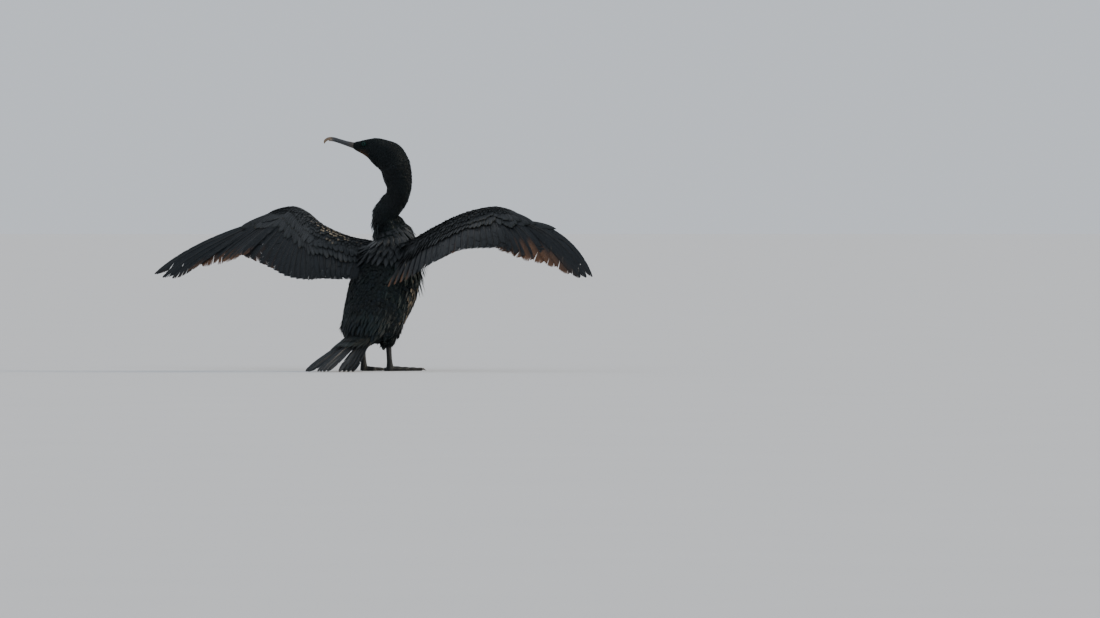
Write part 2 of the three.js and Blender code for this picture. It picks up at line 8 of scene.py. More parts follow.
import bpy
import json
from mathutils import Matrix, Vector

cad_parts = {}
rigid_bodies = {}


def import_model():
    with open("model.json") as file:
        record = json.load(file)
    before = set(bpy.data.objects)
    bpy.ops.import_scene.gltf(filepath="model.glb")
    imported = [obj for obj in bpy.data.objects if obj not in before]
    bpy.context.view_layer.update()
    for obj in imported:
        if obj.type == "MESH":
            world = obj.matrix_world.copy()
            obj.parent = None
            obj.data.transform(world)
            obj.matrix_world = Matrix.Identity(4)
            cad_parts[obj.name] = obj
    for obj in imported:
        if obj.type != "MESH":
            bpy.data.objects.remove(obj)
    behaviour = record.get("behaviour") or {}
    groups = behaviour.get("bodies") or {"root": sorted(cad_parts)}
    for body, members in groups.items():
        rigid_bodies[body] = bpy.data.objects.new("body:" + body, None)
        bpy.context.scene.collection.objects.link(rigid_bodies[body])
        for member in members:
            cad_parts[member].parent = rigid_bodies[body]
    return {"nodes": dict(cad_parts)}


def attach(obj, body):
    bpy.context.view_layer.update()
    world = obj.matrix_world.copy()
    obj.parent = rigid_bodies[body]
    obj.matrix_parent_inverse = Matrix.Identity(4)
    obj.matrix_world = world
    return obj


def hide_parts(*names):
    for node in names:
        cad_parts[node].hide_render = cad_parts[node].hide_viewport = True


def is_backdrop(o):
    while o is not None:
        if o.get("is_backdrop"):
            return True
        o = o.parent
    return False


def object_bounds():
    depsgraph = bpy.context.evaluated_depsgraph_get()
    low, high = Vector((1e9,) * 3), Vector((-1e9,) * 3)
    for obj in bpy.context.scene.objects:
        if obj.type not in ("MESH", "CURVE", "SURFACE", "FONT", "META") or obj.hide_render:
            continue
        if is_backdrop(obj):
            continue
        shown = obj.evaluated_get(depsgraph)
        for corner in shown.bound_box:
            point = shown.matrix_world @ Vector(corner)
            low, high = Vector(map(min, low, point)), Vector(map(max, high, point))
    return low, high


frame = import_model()
cad_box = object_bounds()

import copy
import json
import math

import bmesh
import bpy
import numpy as np
from mathutils import Vector
from mathutils.bvhtree import BVHTree

print("frame", sorted(frame["nodes"]))

# %% [markdown]
# ## Units and small helpers
# All measures below are millimetres in the bird's own frame: it faces -Y, its left side is +X and
# the floor is z = 0. `metres` moves them into the shared frame, whose origin is under the middle
# of the bird's box. The right side is the left side with x turned round, so `mirrored` does that.

# %% Units and helpers
CENTRING = np.array([-6.5, -42.0, 0.0])
LEFT, RIGHT = 1, -1
SIDES = (("left", LEFT), ("right", RIGHT))
X_AXIS, Z_AXIS = np.array([1.0, 0, 0]), np.array([0, 0, 1.0])
dice = np.random.default_rng(20)


def metres(points):
    return (np.asarray(points, float) + CENTRING) * 0.001


def unit(v):
    return v / np.maximum(np.linalg.norm(v, axis=-1, keepdims=True), 1e-9)


def dot(a, b):
    return np.sum(a * b, axis=-1, keepdims=True)


def mirrored(points, side):
    return np.asarray(points, float) * np.array([side, 1, 1])


def ease(low, high, x):
    """0 below low, 1 above high and a smooth rise between."""
    t = np.clip((np.asarray(x, float) - low) / (high - low), 0, 1)
    return t * t * (3 - 2 * t)


def circle(count):
    """Angles once round, evenly apart."""
    return np.linspace(0, 2 * np.pi, count, endpoint=False)


def columns(*parts):
    """Columns of numbers side by side. A single number fills its column."""
    return np.column_stack(np.broadcast_arrays(*parts))


def ovals(line, across, over, wide, deep, sides):
    """Points of ovals round a line. wide and deep are half sizes, one or one for each point."""
    turn = circle(sides)[None, :, None]
    wide, deep = (np.broadcast_to(size, len(line))[:, None, None] for size in (wide, deep))
    ring = across[:, None] * np.cos(turn) * wide + over[:, None] * np.sin(turn) * deep
    return (line[:, None] + ring).reshape(-1, 3)


print("the bird's own origin lies at", metres((0, 0, 0)), "in the shared frame")

# %% Curves through rows


class RowCurve:
    """A smooth curve through rows of numbers, even in the row number."""

    def __init__(self, rows):
        p = np.array(rows, float)
        p = np.vstack([2 * p[0] - p[1], p, 2 * p[-1] - p[-2]])
        gap = np.sqrt(np.linalg.norm(np.diff(p, axis=0), axis=1))[:, None]
        g0, g1, g2 = gap[:-2], gap[1:-1], gap[2:]
        a, b, c, d = p[:-3], p[1:-2], p[2:-1], p[3:]
        start = ((b - a) / g0 - (c - a) / (g0 + g1) + (c - b) / g1) * g1
        stop = ((c - b) / g1 - (d - b) / (g1 + g2) + (d - c) / g2) * g1
        self.terms = (b, start, 3 * (c - b) - 2 * start - stop, 2 * (b - c) + start + stop)
        self.last = len(rows) - 1

    def _split(self, row):
        row = np.clip(np.atleast_1d(np.asarray(row, float)), 0, self.last)
        whole = np.minimum(row.astype(int), self.last - 1)
        return (row - whole)[:, None], [term[whole] for term in self.terms]

    def at(self, row):
        f, (a, b, c, d) = self._split(row)
        return a + f * (b + f * (c + f * d))

    def slope(self, row):
        f, (_, b, c, d) = self._split(row)
        return unit(b + f * (2 * c + 3 * f * d))


print("a smooth arch, halfway up", RowCurve([(0, 0), (1, 1), (2, 0)]).at(0.5)[0])

# %% Meshes and pieces


def shown(name, data):
    """An object for a mesh, a light or a camera, linked into the scene."""
    made = bpy.data.objects.new(name, data)
    bpy.context.scene.collection.objects.link(made)
    return made


def new_object(name, points, faces):
    """A smooth mesh object from points in millimetres and a list of faces."""
    mesh = bpy.data.meshes.new(name)
    mesh.from_pydata(metres(points).tolist(), [], [tuple(face) for face in faces])
    mesh.validate()
    mesh.shade_smooth()
    return shown(name, mesh)


def loft_faces(rings, sides, start=0):
    """Faces of a closed tube of rings whose points are numbered ring by ring, with flat ends."""
    faces = []
    for i in range(rings - 1):
        for j in range(sides):
            a = start + i * sides + j
            b = start + i * sides + (j + 1) % sides
            faces.append((a, b, b + sides, a + sides))
    faces.append(tuple(start + j for j in reversed(range(sides))))
    faces.append(tuple(start + (rings - 1) * sides + j for j in range(sides)))
    return faces


def joined(surfaces):
    """Several surfaces as one list of points and one of faces."""
    points, faces, start = [], [], 0
    for part_points, part_faces in surfaces:
        points.append(part_points)
        faces += [tuple(i + start for i in face) for face in part_faces]
        start += len(part_points)
    return np.vstack(points), faces


def on_side(surface, side):
    """A left surface, or its mirror image on the right."""
    points, faces = surface
    return mirrored(points, side), faces


def outward(made):
    """Turns a closed mesh's faces outward."""
    shape = bmesh.new()
    shape.from_mesh(made.data)
    bmesh.ops.recalc_face_normals(shape, faces=shape.faces)
    shape.to_mesh(made.data)
    shape.free()
    return made


def count_triangles(made):
    loops = np.zeros(len(made.data.polygons), int)
    made.data.polygons.foreach_get("loop_total", loops)
    return int((loops - 2).sum())


def finished(made, material, slot, *nodes):
    """Gives a piece its material, lets it ride with the bird and says which nodes it stands for."""
    made.data.materials.clear()
    made.data.materials.append(material)
    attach(made, "root")
    if nodes:
        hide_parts(*nodes)
    print(made.name, count_triangles(made), "triangles")
    return made


print("faces of a tube with 2 rings of 6 points", len(loft_faces(2, 6)))

# %% [markdown]
# ## The bird's measures
# Body, neck and head are one tapering tube, so they are rows of numbers: the middle of each
# section, its half width, its half depth towards the back and towards the belly, and the way its
# left side faces. The wings are two lines of flesh, leading and trailing, and between the trailing
# line and the tips lie the flight feathers.

# %% Body, neck and head
BODY_ROWS = [
    (0, 46, 54, 18, 12, 10, 0),
    (0, 31, 76, 52, 35, 34, 0),
    (0, 12, 98, 61, 46, 50, 0),
    (0, -5, 124, 65, 49, 60, 0),
    (0, -27, 157, 67, 53, 63, 0),
    (0, -48, 192, 63, 52, 58, 0),
    (0, -64, 222, 54, 46, 48, 0),
    (5, -69, 248, 40, 37, 38, 8),
    (11, -64, 268, 31, 30, 31, 25),
    (14, -57, 288, 26, 28, 27, 45),
    (3, -58, 307, 22, 29, 26, 62),
    (-8, -60, 324, 21, 28, 23, 75),
    (-12, -59, 341, 21, 29, 24, 88),
    (-11, -57, 360, 21, 31, 28, 99),
]
HEAD_ORIGIN = np.array([-5.2, -55.0, 381.0])
HEAD_YAW = math.radians(18)
HEAD_ROWS = [
    (0, 0, 20, 33, 29),
    (8.2, 12, 19.5, 34, 30),
    (21.5, 21, 18.5, 30.5, 28.5),
    (36.8, 29, 17.5, 25, 24),
    (53.2, 33.5, 14, 17, 17.5),
    (66.5, 35.5, 10, 10.5, 12),
    (76.7, 36.5, 7.2, 6.6, 6.8),
]
BILL_ROWS = [
    (77, 36.5, 6.4, 5.8, 5.2),
    (91, 40.2, 5.2, 5, 3.8),
    (104.3, 44.2, 4.3, 4.8, 3.2),
    (114.5, 46.6, 4, 5.2, 2.8),
    (122.7, 46.4, 3.5, 5.4, 2),
    (128.6, 43.4, 2.5, 4.6, 1),
    (131.2, 39.6, 1, 1.4, 0.5),
]
EYE = {"forward": 54, "up": 39.5, "out": 9.4, "radius": 5.2}
head_forward = np.array([math.cos(HEAD_YAW), math.sin(HEAD_YAW), 0])
head_left = np.array([-head_forward[1], head_forward[0], 0])


def on_head(forward, up, out=0.0):
    """Points given forward, up and to the left of the head's origin."""
    forward, up, out = (np.asarray(x, float)[..., None] for x in (forward, up, out))
    return HEAD_ORIGIN + head_forward * forward + Z_AXIS * up + head_left * out


tube_rows = list(BODY_ROWS)
for forward, up, *girths in HEAD_ROWS:
    tube_rows.append((*on_head(forward, up), *girths, 90 + math.degrees(HEAD_YAW)))
spine = RowCurve([row[:3] for row in tube_rows])
girth = RowCurve([row[3:6] for row in tube_rows])
headings = np.radians([row[6] for row in tube_rows])


def body_axes(row):
    along = spine.slope(row)
    heading = np.interp(np.atleast_1d(row), np.arange(len(headings)), headings)
    left = np.stack([np.cos(heading), np.sin(heading), np.zeros_like(heading)], axis=1)
    left = unit(left - along * dot(left, along))
    return along, left, np.cross(along, left)


def on_body(row, angle, proud=0.0):
    """Points of the tube: angle 0 is the bird's left, 90 degrees its back, 270 its belly."""
    row, angle = np.broadcast_arrays(np.atleast_1d(row).astype(float), angle)
    _, left, back = body_axes(row)
    size = girth.at(row)
    depth = np.where(np.sin(angle) > 0, size[:, 1], size[:, 2])
    wide = (np.cos(angle) * (size[:, 0] + proud))[:, None]
    deep = (np.sin(angle) * (depth + proud))[:, None]
    return spine.at(row) + left * wide + back * deep


print("tube rows", spine.last + 1, "head at", on_head(0, 0))

# %% Wings
WING_FLESH = [
    (20, -74, 229, 20, -48, 205, 18),
    (44, -64, 237, 42, -28, 211, 25),
    (80, -40, 246, 76, -9, 225, 21),
    (122, -26, 266, 126, 10, 242, 18),
    (170, -44, 293, 171, -20, 267, 15),
    (214, -67, 304, 216, -53, 289, 12),
    (250, -67, 299, 248, -51, 283, 9),
    (281, -61, 286, 272, -50, 276, 6),
]
ARM_ROOTS = [
    (213, -55, 291),
    (193, -40, 281),
    (171, -24, 270),
    (149, -8, 257),
    (128, 5, 246),
    (92, -7, 233),
    (54, -28, 218),
]
ARM_TIPS = {
    LEFT: [
        (273, 22, 213),
        (208, 31, 190),
        (167, 37, 174),
        (122, 43, 169),
        (88, 54, 171),
        (56, 52, 170),
        (33, 40, 171),
    ],
    RIGHT: [
        (280, 26, 230),
        (251, 49, 229),
        (222, 74, 224),
        (191, 90, 208),
        (168, 94, 197),
        (118, 78, 174),
        (60, 52, 158),
    ],
}
HAND_ROOTS = [(272, -51, 277), (247, -52, 284), (220, -55, 290)]
HAND_TIPS = {
    LEFT: [(478, 2, 179), (452, 4, 167), (398, 2, 188), (350, 2, 197), (316, 8, 204), (288, 18, 214)],
    RIGHT: [(464, 4, 176), (440, 4, 172), (378, 0, 196), (322, 5, 208), (292, 20, 221)],
}
HAND_SWEEP = {LEFT: 0.03, RIGHT: 0.10}
HAND_BOW = {LEFT: 0.032, RIGHT: 0.05}
wing_lead = RowCurve([row[:3] for row in WING_FLESH])
wing_trail = RowCurve([row[3:6] for row in WING_FLESH])
wing_thick = [row[6] for row in WING_FLESH]
arm_roots = RowCurve(ARM_ROOTS)
hand_roots = RowCurve(HAND_ROOTS)
hand_tips = {side: RowCurve(rows) for side, rows in HAND_TIPS.items()}
arm_tips = {side: RowCurve(rows) for side, rows in ARM_TIPS.items()}


def on_wing(row, angle, proud=0.0):
    """Points of the left wing's flesh: angle 0 is the leading edge, 90 degrees the upper side."""
    row, angle = np.broadcast_arrays(np.atleast_1d(row).astype(float), angle)
    lead, trail = wing_lead.at(row), wing_trail.at(row)
    chord = trail - lead
    upper = unit(np.cross(wing_lead.slope(row), chord))
    share = (1 - np.cos(angle)) / 2
    thick = np.interp(row, np.arange(len(wing_thick)), wing_thick)
    rise = np.sin(angle) * (thick * 0.5 * (1.1 - 0.3 * share) + proud)
    push = -np.cos(angle) * proud
    return lead + chord * share[:, None] + unit(chord) * push[:, None] + upper * rise[:, None]


def wing_lie(row, angle):
    """The way the wing's flesh faces."""
    step = 0.05
    chordwise = on_wing(row, angle + step) - on_wing(row, angle - step)
    spanwise = on_wing(row + step, angle) - on_wing(row - step, angle)
    return unit(np.cross(spanwise, chordwise))


print("wing rows", wing_lead.last + 1)

# %% [markdown]
# ## Finishes
# A finish is a small program of shader nodes. `Value` wraps one socket and overloads the
# arithmetic signs, so a mask is written as it would be on paper. `Finish` holds the tree. Every
# other node comes from its `node` method.

# %% A small language for finishes


class Value:
    """A shader socket that takes part in Python arithmetic."""

    def __init__(self, finish, socket):
        self.finish = finish
        self.socket = socket

    def _math(self, operation, a, b=0.0):
        node = self.finish.node("ShaderNodeMath", {"operation": operation}, {0: a, 1: b})
        return Value(self.finish, node.outputs[0])

    def __add__(self, other):
        return self._math("ADD", self, other)

    def __sub__(self, other):
        return self._math("SUBTRACT", self, other)

    def __rsub__(self, other):
        return self._math("SUBTRACT", other, self)

    def __mul__(self, other):
        return self._math("MULTIPLY", self, other)

    __radd__ = __add__
    __rmul__ = __mul__

    def size(self):
        return self._math("ABSOLUTE", self)

    def root(self):
        return self._math("SQRT", self)

    def wave(self):
        return self._math("SINE", self)

    def most(self, other):
        return self._math("MAXIMUM", self, other)

    def ramp(self, low, high, to_low=0.0, to_high=1.0):
        """A smooth step from low to high."""
        node = self.finish.node(
            "ShaderNodeMapRange",
            {"interpolation_type": "SMOOTHSTEP"},
            {0: self, 1: low, 2: high, 3: to_low, 4: to_high},
        )
        return Value(self.finish, node.outputs[0])


class Finish:
    """One material. Constant settings go on the shader's own sockets."""

    def __init__(self, name, **constants):
        self.material = bpy.data.materials.new(name)
        self.material.use_nodes = True
        self.tree = self.material.node_tree
        self.tree.nodes.clear()
        self.shader = self.tree.nodes.new("ShaderNodeBsdfPrincipled")
        output = self.tree.nodes.new("ShaderNodeOutputMaterial")
        self.tree.links.new(self.shader.outputs[0], output.inputs["Surface"])
        for key, value in constants.items():
            self.shader.inputs[key.replace("_", " ")].default_value = value

    def node(self, kind, settings=None, values=None):
        made = self.tree.nodes.new(kind)
        for key, value in (settings or {}).items():
            setattr(made, key, value)
        for key, value in (values or {}).items():
            self.link(value, made.inputs[key])
        return made

    def link(self, value, socket):
        if isinstance(value, Value):
            value = value.socket
        if isinstance(value, bpy.types.NodeSocket):
            self.tree.links.new(value, socket)
        else:
            socket.default_value = value

    def feed(self, **inputs):
        for key, value in inputs.items():
            self.link(value, self.shader.inputs[key.replace("_", " ")])
        return self

    def place(self):
        """Position on the piece, in metres."""
        return self.node("ShaderNodeTexCoord").outputs["Object"]

    def stretched(self, scale, turn=(0, 0, 0)):
        values = {"Vector": self.place(), "Scale": scale, "Rotation": turn}
        return self.node("ShaderNodeMapping", {}, values).outputs[0]

    def noise(self, scale, detail=3.0, vector=None):
        settings = {"Vector": vector or self.place(), "Scale": scale, "Detail": detail}
        return Value(self, self.node("ShaderNodeTexNoise", {}, settings).outputs["Fac"])

    def cells(self, scale):
        values = {"Vector": self.place(), "Scale": scale}
        made = self.node("ShaderNodeTexVoronoi", {"feature": "DISTANCE_TO_EDGE"}, values)
        return Value(self, made.outputs["Distance"])

    def along_feather(self):
        """Across and along the feather, both 0 to 1."""
        uv = self.node("ShaderNodeUVMap", {"uv_map": "Vane"})
        split = self.node("ShaderNodeSeparateXYZ", {}, {0: uv.outputs[0]})
        return Value(self, split.outputs[0]), Value(self, split.outputs[1])

    def given(self, name):
        made = self.node("ShaderNodeAttribute", {"attribute_name": name})
        return Value(self, made.outputs["Fac"])

    def mix(self, factor, first, second):
        made = self.node("ShaderNodeMix", {"data_type": "RGBA", "clamp_factor": True})
        self.link(factor, made.inputs[0])
        for value, slot in ((first, 6), (second, 7)):
            value = (*value, 1) if isinstance(value, tuple) and len(value) == 3 else value
            self.link(value, made.inputs[slot])
        return made.outputs[2]

    def bump(self, height, distance, strength=0.6):
        settings = {"Height": height, "Distance": distance, "Strength": strength}
        self.feed(Normal=self.node("ShaderNodeBump", {}, settings).outputs[0])
        return self


print("sockets can be added, subtracted and multiplied")

# %% [markdown]
# ## Black that isn't one black
# Wet body feathers are black with a faint green-blue gloss and browner, duller tips where they
# are worn. The feather's own map says how far across and along a point lies, so barbs can run
# slantwise from the shaft and edges can differ from centres.

# %% Colours of the plumage
BLACK = (0.0088, 0.0126, 0.0129)
GREEN_GLOSS = (0.0098, 0.0200, 0.0206)
BLUE_GLOSS = (0.0115, 0.0180, 0.0250)
BARE_BLACK = (0.0030, 0.0042, 0.0044)
WORN_BROWN = (0.021, 0.0145, 0.0095)
# Warm colour painted on feathers where the low sun lights them: painted sunlight, not a colour of the
# plumage.
PAINTED_SUNLIGHT_BUFF = (0.50, 0.39, 0.26)
print("body black", BLACK)

# %% Feather finishes
BARB_LINES = 190
BARB_SLANT = 0.55


def barbs(across, along):
    """Fine slanted lines that run out from the shaft."""
    return (along * BARB_LINES - (across - 0.5).size() * BARB_LINES * BARB_SLANT).wave()


def body_finish():
    finish = Finish("black_body_feathers", Specular_IOR_Level=0.2, Sheen_Weight=0.02, Sheen_Roughness=0.4)
    across, along = finish.along_feather()
    tone = finish.given("tone")
    patches = finish.noise(22, 2)
    base = finish.mix(patches.ramp(0.35, 0.7), BLACK, GREEN_GLOSS)
    base = finish.mix(tone.ramp(0.55, 1.0) * 0.7, base, BLUE_GLOSS)
    tips = along.ramp(0.6, 1.0) * (1 - tone).ramp(0.6, 0.95) * 0.5
    base = finish.mix(tips, base, WORN_BROWN)
    # Feathers whose tone is above 1 get a warm streak down their middle: painted sunlight on the right
    # flank.
    middle = 1 - (across - 0.5).size().ramp(0.06, 0.28)
    streak = tone.ramp(1.0, 2.0) * middle * along.ramp(0.2, 0.8, 0.4, 1.0)
    base = finish.mix(streak, base, PAINTED_SUNLIGHT_BUFF)
    finish.feed(Base_Color=base, Roughness=finish.noise(160, 2) * 0.2 + 0.46)
    return finish.bump(barbs(across, along), 0.00012, 0.45).material


def covert_finish():
    finish = Finish("dark_edged_coverts", Specular_IOR_Level=0.32, Sheen_Weight=0.02, Sheen_Roughness=0.4)
    across, along = finish.along_feather()
    tone = finish.given("tone")
    edge = ((across - 0.5).size() * 2).most(along * 1.02)
    centre = finish.mix(tone, (0.0115, 0.0145, 0.0170), (0.0235, 0.0265, 0.0295))
    base = finish.mix(edge.ramp(0.86, 0.96), centre, BLACK)
    fringe = edge.ramp(0.95, 0.99) * tone.ramp(0.6, 1.0) * 0.5
    base = finish.mix(fringe, base, (0.062, 0.045, 0.029))
    # Coverts whose tone is above 1 get warm tips: painted sunlight where the low sun falls on the left wing.
    middle = 1 - (across - 0.5).size().ramp(0.1, 0.4) * 0.5
    base = finish.mix(tone.ramp(1.0, 2.0) * along.ramp(0.62, 0.9) * middle, base, PAINTED_SUNLIGHT_BUFF)
    finish.feed(Base_Color=base, Roughness=finish.noise(140, 2) * 0.2 + 0.36)
    return finish.bump(barbs(across, along), 0.00015, 0.5).material


def flight_finish():
    finish = Finish("flight_feather_barbs", Specular_IOR_Level=0.28, Sheen_Weight=0.02, Sheen_Roughness=0.4)
    across, along = finish.along_feather()
    wear = finish.given("tone")
    streak = finish.noise(90, 2, finish.stretched((1, 1, 0.25)))
    base = finish.mix(streak, (0.0060, 0.0086, 0.0106), (0.0122, 0.0164, 0.0208))
    # Brown towards the tips of worn feathers: partly real wear, partly painted glow of the low sun shining
    # through the thin vanes.
    brown = wear * along.ramp(0.1, 0.95, 0.55, 1.0)
    base = finish.mix(brown.ramp(0.15, 0.8), base, (0.125, 0.060, 0.031))
    finish.feed(Base_Color=base, Roughness=streak * 0.2 + 0.38)
    return finish.bump((across * math.pi).wave(), 0.00015, 0.5).material


def shaft_finish():
    finish = Finish("shafts", Specular_IOR_Level=0.55)
    streak = finish.noise(400, 2)
    base = finish.mix(streak, (0.006, 0.007, 0.008), (0.022, 0.019, 0.017))
    finish.feed(Base_Color=base, Roughness=streak * 0.2 + 0.25)
    return finish.bump(streak, 0.00008, 0.4).material


BODY_FEATHERS = body_finish()
COVERTS = covert_finish()
FLIGHT = flight_finish()
SHAFTS = shaft_finish()
print("feather finishes ready")

# %% [markdown]
# ## Bare parts
# The skin under the feathers only shows between them, but it carries the same black. Bill, gape
# and feet are bare: grey horn with a paler hook, dull orange skin behind the lower bill, and
# black scaly skin on the feet.

# %% Finishes of the bare parts
HOOK_START, HOOK_BLEND = 112, 9
PUPIL_EDGE, IRIS_EDGE = (1.7, 2.0), (3.4, 4.4)


def head_place(finish):
    """How far forward, up and out a point lies from the head's origin, in millimetres."""
    origin = Vector(metres(HEAD_ORIGIN))
    settings = {"operation": "SUBTRACT"}
    moved = finish.node("ShaderNodeVectorMath", settings, {0: finish.place(), 1: origin}).outputs[0]
    found = []
    for axis in (head_forward, Z_AXIS, head_left):
        values = {0: moved, 1: Vector(axis * 1000)}
        node = finish.node("ShaderNodeVectorMath", {"operation": "DOT_PRODUCT"}, values)
        found.append(Value(finish, node.outputs["Value"]))
    return found


def skin_finish():
    finish = Finish("skin_under_feathers", Specular_IOR_Level=0.05)
    forward, up, _ = head_place(finish)
    fine = finish.noise(420, 3)
    base = finish.mix(fine, BARE_BLACK, BLACK)
    gape = forward.ramp(42, 52) * (1 - up.ramp(25, 31)) * finish.noise(150, 2).ramp(0.2, 0.5, 0.6, 1.0)
    base = finish.mix(gape * forward.ramp(58, 70, 1.0, 0.35), base, (0.040, 0.021, 0.011))
    finish.feed(Base_Color=base, Roughness=fine * 0.25 + 0.4)
    folds = finish.cells(330) * 0.6 + fine * 0.5
    return finish.bump(folds, 0.0005, 0.6).material


def bill_finish():
    finish = Finish("grey_horn_bill", Specular_IOR_Level=0.5)
    forward, _, out = head_place(finish)
    grain = finish.noise(260, 4, finish.stretched((0.2, 0.2, 1.6), (0, -0.3, HEAD_YAW)))
    base = finish.mix(grain, (0.014, 0.016, 0.020), (0.038, 0.040, 0.044))
    base = finish.mix((1 - out.size().ramp(0.6, 2.4)) * 0.75, base, (0.022, 0.022, 0.024))
    hook = forward.ramp(HOOK_START, HOOK_START + HOOK_BLEND)
    stain = finish.noise(190, 2).ramp(0.3, 0.6, 0.25, 1.0)
    base = finish.mix(hook * 0.7 * stain, base, (0.24, 0.155, 0.085))
    root = 1 - forward.ramp(76, 90)
    base = finish.mix(root * 0.6, base, (0.046, 0.032, 0.019))
    finish.feed(Base_Color=base, Roughness=grain * 0.25 + 0.28)
    return finish.bump(grain + finish.cells(900) * 0.2, 0.0003, 0.4).material


def foot_finish():
    finish = Finish("black_scaly_foot", Specular_IOR_Level=0.22)
    scales = finish.cells(520).ramp(0.0, 0.22)
    fine = finish.noise(800, 3)
    base = finish.mix(scales * 0.7 + fine * 0.3, (0.0030, 0.0036, 0.0040), (0.0105, 0.0122, 0.0130))
    finish.feed(Base_Color=base, Roughness=0.55 - scales * 0.18)
    return finish.bump(scales + fine * 0.25, 0.0004, 0.7).material


def claw_finish():
    finish = Finish("claws", Specular_IOR_Level=0.5)
    grain = finish.noise(300, 3)
    base = finish.mix(grain, (0.008, 0.007, 0.007), (0.035, 0.028, 0.022))
    finish.feed(Base_Color=base, Roughness=grain * 0.2 + 0.25)
    return finish.bump(grain, 0.0001, 0.3).material


def eye_finish(name):
    finish = Finish(f"eye_{name}", Specular_IOR_Level=0.08, Coat_Weight=0.08, Coat_Roughness=0.1)
    forward, up, _ = head_place(finish)
    ahead, above = forward - EYE["forward"], up - EYE["up"]
    radius = (ahead * ahead + above * above).root()
    # The iris is teal but kept very dark: its real colour darkened by painted shade, as the eye lies in
    # shade.
    rays = finish.noise(900, 2)
    iris = finish.mix(rays, (0.0012, 0.012, 0.010), (0.0035, 0.036, 0.029))
    base = finish.mix(radius.ramp(*IRIS_EDGE), iris, (0.002, 0.006, 0.006))
    base = finish.mix(radius.ramp(*PUPIL_EDGE), (0.001, 0.001, 0.001), base)
    finish.feed(Base_Color=base, Roughness=rays * 0.05 + 0.15)
    return finish.material


SKIN = skin_finish()
BILL = bill_finish()
FOOT = foot_finish()
CLAW = claw_finish()
print("bare finishes ready")

# %% [markdown]
# ## One skin
# The flesh is one closed surface with no seams: body, neck and head as a tube, the flesh of both
# wings, both thighs and the stump of the tail. Each is lofted on its own, and a voxel remesh
# melts them into one. It lies inside the solids by about the depth of the feathers.

# %% Surfaces of the flesh
TAIL = {
    "root": np.array([0.0, 34.0, 71.0]), "length": 174, "outer": 156, "width": 27, "thick": 20,
    "block": 62,
}
LEG_X = 28
THIGH_ROWS = [
    (LEG_X - 2, -8, 108, 24, 28),
    (LEG_X, -3, 88, 23, 25),
    (LEG_X, 1, 72, 17, 18),
    (LEG_X, 2, 60, 10, 12),
    (LEG_X, 2, 50, 6.2, 7.4),
]
# How far the skin lies under the feathers' surface along the tube's rows.
COAT_DEPTHS = ([0, 2, 8, 12, 15, 18, 19.4, 20], [2.5, 4.0, 3.6, 2.8, 2.8, 2.4, 0.8, 1.0])


def coat_depth(row):
    return np.interp(row, *COAT_DEPTHS)


def swept(place, rows, sides):
    """A closed tube. place gives one ring's points from its row and the angles round it."""
    return np.vstack([place(row, circle(sides)) for row in rows]), loft_faces(len(rows), sides)


def tube_surface():
    rows = np.linspace(0, spine.last, 220)
    return swept(lambda row, angle: on_body(row, angle, -coat_depth(row)), rows, 72)


def wing_surface():
    rows = np.linspace(0, wing_lead.last, 110)
    return swept(lambda row, angle: on_wing(row, angle, -0.8), rows, 40)


def limb_axes(curve, row):
    along = curve.slope(row)
    across = unit(X_AXIS - along * along[:, :1])
    return along, across, np.cross(along, across)


thigh_line = RowCurve([row[:3] for row in THIGH_ROWS])
thigh_size = RowCurve([row[3:] for row in THIGH_ROWS])


def on_thigh(row, angle, proud=0.0):
    row, angle = np.broadcast_arrays(np.atleast_1d(row).astype(float), angle)
    _, across, fore = limb_axes(thigh_line, row)
    size = thigh_size.at(row) + proud
    wide = (np.cos(angle) * size[:, 0])[:, None]
    deep = (np.sin(angle) * size[:, 1])[:, None]
    return thigh_line.at(row) + across * wide + fore * deep


def thigh_surface():
    rows = np.linspace(0, thigh_line.last, 40)
    return swept(lambda row, angle: on_thigh(row, angle, -1.5 * (1 - row / 4)), rows, 36)


def tail_fall(reach):
    return np.arcsin(TAIL["root"][2] / reach)


def on_tail(distance, angle, proud=0.0):
    distance, angle = np.broadcast_arrays(np.atleast_1d(distance).astype(float), angle)
    fall = tail_fall(TAIL["length"])
    away = np.array([0, math.cos(fall), -math.sin(fall)])
    over = np.array([0, math.sin(fall), math.cos(fall)])
    share = np.clip(distance / TAIL["block"], 0, 1)
    wide = TAIL["width"] * (0.72 + 0.18 * share) + proud
    deep = TAIL["thick"] * 0.5 * (1.05 - share) + proud
    middle = TAIL["root"] + away * distance[:, None]
    across = X_AXIS * (np.cos(angle) * wide)[:, None]
    return middle + across + over * (np.sin(angle) * deep)[:, None]


def tail_surface():
    steps = np.linspace(-12, TAIL["block"], 30)
    return swept(lambda step, angle: on_tail(step, angle, -0.6), steps, 32)


print("tail falls", round(math.degrees(tail_fall(TAIL["length"])), 1), "degrees")

# %% One melted skin
SKIN_VOXEL = 0.0021
BODY_NODES = ("torso", "neck_lower", "neck_upper", "head", "thigh_left", "thigh_right")


def evaluated_mesh(made):
    """The mesh that an object's modifiers make, as plain data."""
    graph = bpy.context.evaluated_depsgraph_get()
    return bpy.data.meshes.new_from_object(
        made.evaluated_get(graph), preserve_all_data_layers=True, depsgraph=graph
    )


def melted(name, surfaces, voxel, smoothing):
    """One closed mesh from several closed surfaces that run into each other."""
    made = outward(new_object(name, *joined(surfaces)))
    remesh = made.modifiers.new("melt", "REMESH")
    remesh.mode = "VOXEL"
    remesh.voxel_size = voxel
    remesh.use_smooth_shade = True
    smooth = made.modifiers.new("ease", "SMOOTH")
    smooth.factor = 0.5
    smooth.iterations = smoothing
    mesh = evaluated_mesh(made)
    made.modifiers.clear()
    made.data = mesh
    return made


